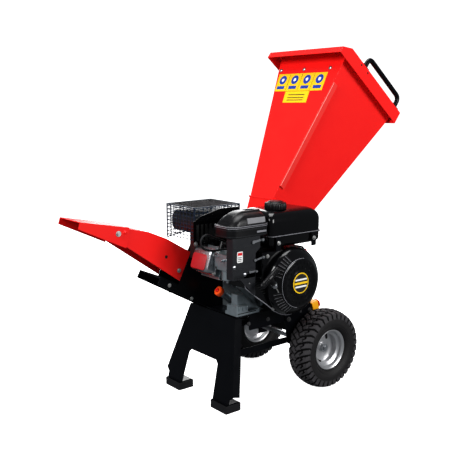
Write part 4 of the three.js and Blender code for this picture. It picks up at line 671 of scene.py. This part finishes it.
def build_shroud_trim():
    trim = Shapes(ENGINE, ENGINE_BLACK, DARK, HIGHLIGHT_GREY, ZINC)
    edge = [(-180, 30), (-180, 3), (-98, -59), (-66, -86)]
    edge += [(106.6 * math.cos(math.radians(a)), 106.6 * math.sin(math.radians(a))) for a in range(234, 411, 8)]
    # painted highlight: a light grey line along the shroud's edge
    lip = [Vector((x, -195.7, z)) for x, z in edge]
    trim.use(2).tube(smooth_path(lip, 2), 1.7, 8)
    for group, (x0, z0, count) in enumerate(((-160, 22, 7), (-92, -18, 5))):
        for k in range(count):
            z = z0 - 7 * k if group == 0 else z0 - 9 * k
            start = x0 + (8 * k if group == 0 else 6 * k)
            stop = start + (46 if group == 0 else 20)
            if group == 0:
                stop = min(stop, -100)
            trim.use(1).box((start, stop), (-196.4, -195.6), (z - 3.4, z - 0.4))
            trim.use(0).box((start, stop), (-197.6, -195.8), (z - 0.6, z + 1.2))
    for x, z in ((-170, 18), (-96, 88), (40, 92), (-72, -76)):
        trim.use(3).bolt((x, -196, z), (0, -1, 0), 4.4, 3.0)
    trim.make("fan_shroud_trim", "chassis")


def build_grip():
    """Ribbed T grip with rounded ends, and a metal guide under it."""
    grip = Shapes(GRIP, PLASTIC)
    rings = []
    count = 45
    for i in range(count):
        x = -43 + 86 * i / (count - 1)
        end = min(1.0, (43.01 - abs(x)) / 9)
        size = math.sqrt(max(1 - (1 - end) ** 2, 0.03))
        rib = 0.0 if abs(x) > 34 or abs(x) < 9 else 0.8 * math.cos(x / 6.4 * math.tau)
        a, b = (9.8 + rib) * size, (8.6 + rib) * size
        rings.append([(x, b * math.cos(k * math.tau / 28), a * math.sin(k * math.tau / 28)) for k in range(28)])
    grip.loft(rings)
    grip.lathe((0, 0, -24), (0, 0, 1), [(4.5, 0), (7.6, 1.5), (8, 8), (8.6, 18), (9.5, 22)], 28, ends=True)
    grip.make("starter_grip_moulding", "starter_grip", replaces=["recoil_grip"])

    guide = Shapes(GRIP, STEEL)
    guide.lathe((0, 0, -33), (0, 0, 1), [(8, -4), (8.6, 0), (9.8, 4), (10.6, 6), (10.2, 7.2), (8.6, 7), (7, 3), (6, -4)], 36,
                closed=True)
    guide.make("starter_rope_guide", "chassis")


def build_rope():
    """Starter rope from inside its cover to the grip."""
    rope = Shapes(GRIP, ROPE)
    path = [Vector((0, 0, z)) for z in [-60 + i * 2.0 for i in range(20)]]
    rope.tube(path, 2.0, 10)
    obj = rope.make("starter_rope", None)
    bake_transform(obj)


# ---------------------------------------------------------------- engine: tank, air cleaner, intake
def build_tank():
    tank = Shapes(ENGINE, ENGINE_BLACK, HIGHLIGHT_GREY)
    x0, x1, y0, y1, z0, z1 = -89, 124, -200, -45, 109, 217
    layers = [(z0, 9), (z0 + 3, 4), (z0 + 8, 1), (z0 + 14, 0), (z1 - 34, 0), (z1 - 26, 1.2), (z1 - 18, 4),
              (z1 - 11, 8.5), (z1 - 5.5, 15), (z1 - 2, 23), (z1 - 0.6, 31), (z1, 42)]
    rings = []
    for z, d in layers:
        corner = 15 + d * 0.15
        rings.append([(x, y, z) for x, y in rounded((x0 + d, x1 - d * 1.1), (y0 + d, y1 - d), corner, 8)])
    tank.loft(rings)
    tank.prism("Z", rounded((x0 - 1, x1 + 4), (y0 - 4.6, y1 + 4.6), 18, 8), (141, 142.8))
    # painted highlight: a light grey lip under the seam flange
    tank.use(1).prism("Z", rounded((x0 - 1, x1 + 4), (y0 - 4.6, y1 + 4.6), 18, 8), (143.2, 144.6))
    tank.use(0)
    tank.lathe((-19, -145, 214), (0, 0, 1), [(26, 0), (25, 5), (24, 7), (21, 7.2)], 48, ends=True)
    tank.make("tank_pressing", "chassis", eased=0.4, replaces=["fuel_tank"])
    straps = Shapes(ENGINE, BLACK, ZINC)
    for x in (-60, 88):
        straps.use(0).box((x - 10, x + 10), (-206, -203.4), (100, 141))
        straps.use(1).bolt((x, -206, 124), (0, -1, 0), 5, 3.4)
    straps.make("tank_brackets", "chassis", eased=0.4)


def build_cap():
    cap = Shapes(CAP, PLASTIC)
    sides = 144
    rings = []
    for height, radius, rib in ((0.4, 33, 1), (2, 34, 1), (16, 33.4, 1), (18.5, 32, 0.6), (20, 30, 0), (20.8, 27, 0),
                                (20.4, 25, 0), (22, 23.5, 0), (24.4, 21, 0), (25, 17, 0)):
        ring = []
        for k in range(sides):
            notch = 0.5 - 0.5 * math.cos(k * math.tau / sides * 24)
            r = radius - 2.0 * rib * (1 - notch) ** 3
            ring.append((r * math.cos(k * math.tau / sides), r * math.sin(k * math.tau / sides), height))
        rings.append(ring)
    cap.loft(rings)
    cap.make("filler_cap_moulding", "filler_cap", replaces=["fuel_cap"])


def build_air_cleaner():
    """Domed cover that rises from a double flange, with a raised rib that carries a plain plate."""
    cleaner = Shapes(ENGINE, PLASTIC, LABEL_GREY, DARK_GREY, HIGHLIGHT_GREY)
    x0, x1, y0, y1, top = -240, -92, -205, -112, 227
    rings = []
    for z, left, side in ((181.4, 0.6, 0.6), (184, 0, 0), (188, 0.4, 0.4), (189, 6, 3), (193, 9, 3.4),
                          (199, 14, 4.4), (206, 22, 7), (212, 31, 11), (217, 41, 16), (220.4, 52, 23),
                          (222, 62, 30)):
        right = side * 0.6
        rings.append([(x, y, z) for x, y in rounded((x0 + left, x1 - right), (y0 + side, y1 - side),
                                                    max(25 - side * 0.4, 10), 8)])
    cleaner.loft(rings)
    rib = []
    for z, left, side in ((200, 14, 26), (209, 22, 26.4), (216, 32, 27), (221.4, 42, 28), (224.6, 52, 29.6),
                          (226.4, 62, 32), (227, 72, 35)):
        rib.append([(x, y, z) for x, y in rounded((x0 + left, x1 - 14), (y0 + side, y1 - side), 6, 5)])
    cleaner.loft(rib)
    plate = [(-178, 208), (-112, 208), (-112, 193), (-178, 193)]
    cleaner.use(1).loft([[(x, y0 + lift + (208 - z) * -0.16 + 8.2, z) for x, z in plate] for lift in (0, -4.4)])
    cleaner.use(1).prism("Z", rounded((-158, -118), (-172, -146), 4), (226.2, top))
    # painted highlight: light grey lines on the two flange edges
    for z in (182.0, 186.2):
        cleaner.use(3).prism("Z", rounded((x0 - 0.2, x1 + 0.2), (y0 - 0.4, y1 + 0.4), 25, 8), (z, z + 1.7))
    for z in (176.0, 157.5):
        cleaner.use(2).prism("Z", rounded((x0 - 0.2, x1 + 0.2), (y0 - 0.4, y1 + 0.4), 25, 8), (z, z + 2.2))
    cleaner.use(3).box((-146, -110), (y0 - 1.4, y0 + 3), (165, 170.5))
    cleaner.make("air_cleaner_moulding", "chassis", eased=0.5, replaces=["air_cleaner_cover"])


def build_intake_trim():
    trim = Shapes(ENGINE, DARK_GREY, LABEL_WHITE, STEEL, DARK, LABEL_RED)
    front = -201
    gusset = [(-147, front, 47), (-147, front, -20), (-150, front, -22), (-205, front, 33), (-228, front, 34),
              (-228, front, 47)]
    trim.use(0).prism("Y", [(p[0], p[2]) for p in gusset], (front, front + 14))
    trim.use(1).prism("Y", rounded((-217, -196), (84, 116), 2), (front - 0.8, front))
    trim.use(4).box((-215, -198), (front - 1.2, front - 0.4), (105, 113))
    for z in (99, 94, 89):
        trim.use(3).box((-214, -200), (front - 1.1, front - 0.4), (z - 1, z + 0.8))
    for x, z in ((-226, 72.4), (-187, 47)):
        trim.use(2).dome((x, front, z), (0, -1, 0), 6.2, 3.2)
        trim.use(3).box((x - 3.6, x + 3.6), (front - 3.5, front - 2.9), (z - 0.8, z + 0.8))
    for z in (126, 62):
        trim.use(0).box((-230, -150), (front - 1.0, front), (z, z + 2.2))
    trim.make("intake_trim", "chassis", eased=0.4)

    fuel = Shapes(ENGINE, STEEL, DARK_BOLT, PLASTIC)
    fuel.use(0).rod((-200, -138, 20), (-200, -138, 12), 5, 20)
    fuel.use(0).rod((-222, -150, 84), (-236, -150, 84), 4, 20)
    coil = [Vector((-228 + 3.2 * math.cos(t * 1.1), -128 + 0.85 * t, 92 + 3.2 * math.sin(t * 1.1))) for t in range(28)]
    fuel.use(0).tube(coil, 0.7, 8)
    for y, z in ((-166, 94), (-112, 94), (-166, 58), (-112, 58)):
        fuel.use(1).rod((-222, y, z), (-225, y, z), 3.6, 18)
    hose = smooth_path([(-176, -118, 60), (-164, -112, 66), (-150, -108, 84), (-128, -106, 104), (-104, -108, 116)], 6)
    fuel.use(2).tube(hose, 3.6, 14)
    fuel.make("carburettor_trim", "chassis", eased=0.2)


LEAD_POINTS = [
    (-168.3, -95.4, 118), (-168.8, -105, 119), (-194, -109.5, 133), (-230, -110, 147), (-253, -110, 157),
    (-270, -110, 152), (-277, -110, 137), (-269, -110, 120), (-250, -110, 111), (-228, -110, 107.5),
    (-204, -112, 108), (-180, -120, 107), (-160, -134, 92), (-152, -148, 60), (-152, -150, 30.8),
]


def build_lead():
    lead = Shapes(ENGINE, RUBBER, STEEL)
    lead.tube(smooth_path(LEAD_POINTS, 8), 3.1, 16)
    lead.make("ignition_lead_sleeve", "chassis", replaces=["ignition_lead"])


# ---------------------------------------------------------------- engine: cylinder end
def build_head_trim():
    cover = Shapes(CYLINDER, STEEL, RED_PANEL, ZINC)
    cover.use(0).prism("Z", rounded((-39, 39), (-46, 46), 12), (214, 219))
    cover.loft([[(x, y, z) for x, y in rounded((-36 + d, 36 - d), (-43 + d, 43 - d), 13, 8)]
                for z, d in ((218, 0), (240, 0.6), (246, 2.4), (249, 6))])
    cover.use(1).loft([[(x, y, z) for x, y in rounded((-31 + d, 17 - d), (-31 + d, 38 - d), 8, 8)]
                       for z, d in ((246, 0), (250.8, 0.4), (252, 2))])
    for x, y in ((-33, -40), (33, -40), (-33, 40), (33, 40)):
        cover.use(2).bolt((x, y, 219), (0, 0, 1), 4.4, 4)
    cover.make("valve_cover_pressing", "chassis", eased=0.6, replaces=["valve_cover"])

    plug = Shapes(CYLINDER, PLASTIC)
    plug.lathe((40.4, -20, 196), (1, 0, 0), [(9.5, 0), (9.2, 8), (8.6, 20), (8.2, 26), (6.5, 28)], 36, ends=True)
    plug.lathe((62, -17, 196), (0, -1, 0), [(7.6, 0), (7.4, 8), (6.6, 18), (5.2, 22)], 32, ends=True)
    plug.make("plug_boot", "chassis", replaces=["spark_plug_cap"])

    trim = Shapes(ENGINE, ENGINE_BLACK, ZINC, ALLOY, DARK)
    trim.use(1).bolt((-260, -62, 124), (0, -1, 0), 5.2, 4.0)
    trim.use(1).bolt((-118, -62, 198), (0, -1, 0), 4.6, 3.4)
    for k in range(9):
        x = -256 + 16 * k
        trim.use(3).box((x, x + 9), (-62.5, -61.9), (132, 180))
    trim.make("cylinder_shroud_trim", "chassis")

    case = Shapes(ENGINE, ALLOY, ZINC, DARK)
    for x, z in ((-86, 60), (-92, -20), (70, 20), (70, -60), (-30, 70), (30, 60), (-60, -90), (40, -90)):
        case.use(1).bolt((x, 16.7, z), (0, 1, 0), 4.6, 3.4)
    case.use(2).box((-148, -74), (-122.6, -121.9), (-99, -96.5))
    for k in range(3):
        x = -144 + 15 * k
        case.use(0).box((x, x + 4), (-125, -121.6), (-90, -76))
    case.use(0).rod((-129, -98, -75), (-129, -98, -72.6), 12, 28)
    for x, z in ((-129, -73), (58, -93), (82, -93)):
        case.use(1).bolt((x, -98 if x < 0 else -112, z), (0, 0, 1), 5.5, 4.5)
    case.make("crankcase_bolts", "chassis", eased=0.5)


def build_dipstick():
    place = shifted(ENGINE, -116, -40, -69, DIP_TILT)
    stick = Shapes(place, ORANGE, RED_PLASTIC)
    rings = []
    sides = 96
    for height, radius, rib in ((39.4, 13.6, 0), (41, 15, 1), (53, 15, 1), (55, 13.4, 0.4)):
        rings.append([((radius - 1.3 * rib * max(math.cos(k * math.tau / sides * 14), 0) ** 2)
                       * math.cos(k * math.tau / sides),
                       (radius - 1.3 * rib * max(math.cos(k * math.tau / sides * 14), 0) ** 2)
                       * math.sin(k * math.tau / sides), height) for k in range(sides)])
    stick.loft(rings)
    stick.use(1).lathe((0, 0, 54.6), (0, 0, 1), [(6, 0), (6, 5), (4.6, 6.2)], 24, ends=True)
    stick.make("dipstick_moulding", "oil_dipstick", replaces=["dipstick"])


def build_guard():
    """Welded wire cage round the muffler, with a fine mesh roof and heavier rods along its edges."""
    guard = Shapes(ENGINE, BLACK, MESH_ROOF)
    x0, x1, y0, y1, z1 = -239, -62, -30, 120, 226

    def low(x):
        return 119 + (144 - 119) * (x - x0) / (x1 - x0)

    wire = 1.1
    for y, inward in ((y0, 1), (y1, -1)):
        face = y + inward * wire
        x = x0 + 2
        while x < x1:
            guard.use(0).rod((x, face, low(x)), (x, face, z1 - 3), wire, 8)
            x += 15.6
        z = 128
        while z < z1 - 4:
            start = x0 if z > 119 else x0
            stop = x1 if z > 144 else x0 + (x1 - x0) * (z - 119) / 25
            guard.use(0).rod((start + 1, face + inward * 1.6, z), (stop - 1, face + inward * 1.6, z), wire, 8)
            z += 11.4
    for x, inward in ((x0, 1), (x1, -1)):
        face = x + inward * wire
        y = y0 + 6
        while y < y1:
            guard.use(0).rod((face, y, low(x)), (face, y, z1 - 3), wire, 8)
            y += 17.4
        z = low(x) + 8
        while z < z1 - 4:
            guard.use(0).rod((face + inward * 1.6, y0 + 1, z), (face + inward * 1.6, y1 - 1, z), wire, 8)
            z += 11.4
    for corner_x in (x0 + 2, x1 - 2):
        for corner_y in (y0 + 2, y1 - 2):
            guard.use(0).rod((corner_x, corner_y, low(corner_x)), (corner_x, corner_y, z1 - 1), 2.0, 10)
    for z in (z1 - 2,):
        guard.use(0).rod((x0 + 2, y0 + 2, z), (x1 - 2, y0 + 2, z), 2.0, 10)
        guard.use(0).rod((x0 + 2, y1 - 2, z), (x1 - 2, y1 - 2, z), 2.0, 10)
        guard.use(0).rod((x0 + 2, y0 + 2, z), (x0 + 2, y1 - 2, z), 2.0, 10)
        guard.use(0).rod((x1 - 2, y0 + 2, z), (x1 - 2, y1 - 2, z), 2.0, 10)
    guard.use(0).rod((x0 + 2, y0 + 2, low(x0)), (x1 - 2, y0 + 2, low(x1)), 2.0, 10)
    guard.use(0).rod((x0 + 2, y1 - 2, low(x0)), (x1 - 2, y1 - 2, low(x1)), 2.0, 10)
    x = x0 + 4
    while x < x1 - 2:
        guard.use(1).box((x, x + 2.4), (y0 + 2, y1 - 2), (z1 - 2.2, z1 - 0.9))
        x += 4.2
    y = y0 + 4
    while y < y1 - 2:
        guard.use(1).box((x0 + 2, x1 - 2), (y, y + 2.4), (z1 - 2.6, z1 - 1.4))
        y += 4.2
    guard.make("muffler_cage", "chassis", replaces=["muffler_guard"])

    muffler = Shapes(ENGINE, SOOT, STEEL, DARK)
    for k in range(7):
        z = 146 + 8.4 * k
        muffler.use(2).box((-214, -98), (-14.9, -13.8), (z, z + 3.2))
        muffler.use(1).box((-214, -98), (-16.4, -13.8), (z + 3.0, z + 4.6))
    muffler.use(1).box((-236, -196), (-27.4, -26.2), (176, 204))
    muffler.use(1).rod((-150, 104, 190), (-150, 112, 190), 12, 28)
    muffler.make("muffler_louvres", "chassis", eased=0.3)


# ---------------------------------------------------------------- stop station and small controls
def build_stop_station():
    button = Shapes(STATION, RED_PLASTIC)
    button.lathe((15, 0, 2), (1, 0, 0), [(6, -6), (6, 6.6), (13.6, 6.8), (15, 8.6), (14.4, 11.4), (12, 14), (8, 16.2),
                                         (3.5, 17.3), (0.4, 17.5)], 48, ends=True)
    button.make("mushroom_button", "emergency_button", replaces=["stop_button"])
    trim = Shapes(STATION, YELLOW, LABEL_BLACK, DARK_BOLT)
    trim.use(1).lathe((14, 0, 2), (1, 0, 0), [(7.4, 0), (7.4, 1.4), (11.5, 1.4), (12.5, 0)], 40, closed=True)
    for y in (-15, 15):
        for z in (-18, 18):
            trim.use(2).dome((14, y, z), (1, 0, 0), 2.2, 1.2)
    trim.make("stop_box_trim", "chassis")


def build_frame_trim():
    trim = Shapes(GROUND, BLACK, ZINC, DARK_BOLT)
    for x, z in ((-114, 236), (-20, 250), (-96, 180)):
        trim.use(2).bolt((x, -129.3, z), (0, -1, 0), 6.2, 4.2)
    for x, z in ((-6, 240), (8, 180)):
        trim.use(2).bolt((x, 129.3, z), (0, 1, 0), 6.2, 4.2)
    for x in (-280, -200, -60):
        trim.use(2).bolt((x, -125, 252), (0, -1, 0), 5.0, 3.4)
    for y in (-160, 160):
        side = -1 if y < 0 else 1
        trim.use(1).bolt((-372, side * 121, 27.3), (0, 0, 1), 4.6, 3.0)
    for side in (-1, 1):
        trim.use(1).lathe((0, side * 129.4, 130), (0, side, 0), [(15, 0), (15, 3), (12, 8), (8.6, 8)], 36, ends=False)
    trim.make("frame_bolts", "chassis")


# ---------------------------------------------------------------- stage
def build_stage():
    floor = bpy.data.meshes.new("floor")
    floor.from_pydata([(-30, -30, -0.0005), (30, -30, -0.0005), (30, 30, -0.0005), (-30, 30, -0.0005)], [],
                      [(0, 1, 2, 3)])
    floor.materials.append(FLOOR)
    ground = bpy.data.objects.new("floor", floor)
    bpy.context.scene.collection.objects.link(ground)
    ground.visible_diffuse = False
    ground.visible_glossy = False

    world = bpy.data.worlds.new("studio")
    world.use_nodes = True
    tree = world.node_tree
    seen = tree.nodes["Background"]
    seen.inputs["Color"].default_value = (1, 1, 1, 1)
    around = tree.nodes.new("ShaderNodeBackground")
    around.inputs["Color"].default_value = (0.9, 0.95, 1, 1)
    around.inputs["Strength"].default_value = 0.2
    path = tree.nodes.new("ShaderNodeLightPath")
    blend = tree.nodes.new("ShaderNodeMixShader")
    tree.links.new(path.outputs["Is Camera Ray"], blend.inputs["Fac"])
    tree.links.new(around.outputs["Background"], blend.inputs[1])
    tree.links.new(seen.outputs["Background"], blend.inputs[2])
    tree.links.new(blend.outputs["Shader"], tree.nodes["World Output"].inputs["Surface"])
    bpy.context.scene.world = world
    bpy.context.scene.view_settings.view_transform = "Standard"
    bpy.context.scene.view_settings.look = "Medium High Contrast"

    target = Vector((0.0, 0.0, 0.5))
    lights = (
        ("key", (-2.9, -0.3, 2.3), 1.5, 100),
        ("fill", (0.9, -3.4, 1.7), 1.6, 100),
        ("top", (0.3, 0.3, 3.6), 2.0, 85),
        ("back", (1.8, 2.4, 1.6), 1.8, 45),
    )
    for name, place, size, power in lights:
        data = bpy.data.lights.new(name, "AREA")
        data.shape = "SQUARE"
        data.size = size
        data.energy = power
        lamp = bpy.data.objects.new(name, data)
        lamp.location = place
        lamp.rotation_euler = (target - Vector(place)).to_track_quat("-Z", "Y").to_euler()
        bpy.context.scene.collection.objects.link(lamp)


def build_camera():
    """Camera at the solved viewpoint."""
    data = bpy.data.cameras.new("camera")
    data.sensor_width = 36
    data.lens = 55.84
    camera = bpy.data.objects.new("camera", data)
    azimuth, drop = math.radians(39.2), math.radians(9.7)
    look = Vector((math.sin(azimuth) * math.cos(drop), math.cos(azimuth) * math.cos(drop), -math.sin(drop)))
    camera.location = Vector((-1.6573, -1.7234, 0.9046)) + Vector((0.154126, -0.0076, 0))
    camera.rotation_euler = look.to_track_quat("-Z", "Y").to_euler()
    bpy.context.scene.collection.objects.link(camera)
    bpy.context.scene.camera = camera


random.seed(7)
build_camera()
dress_cad_nodes()
build_wheels()
build_hopper_trim()
build_chute_trim()
build_recoil_cover()
build_shroud_trim()
build_grip()
build_rope()
build_tank()
build_cap()
build_air_cleaner()
build_intake_trim()
build_lead()
build_head_trim()
build_dipstick()
build_guard()
build_stop_station()
build_frame_trim()
build_stage()

bpy.context.view_layer.update()
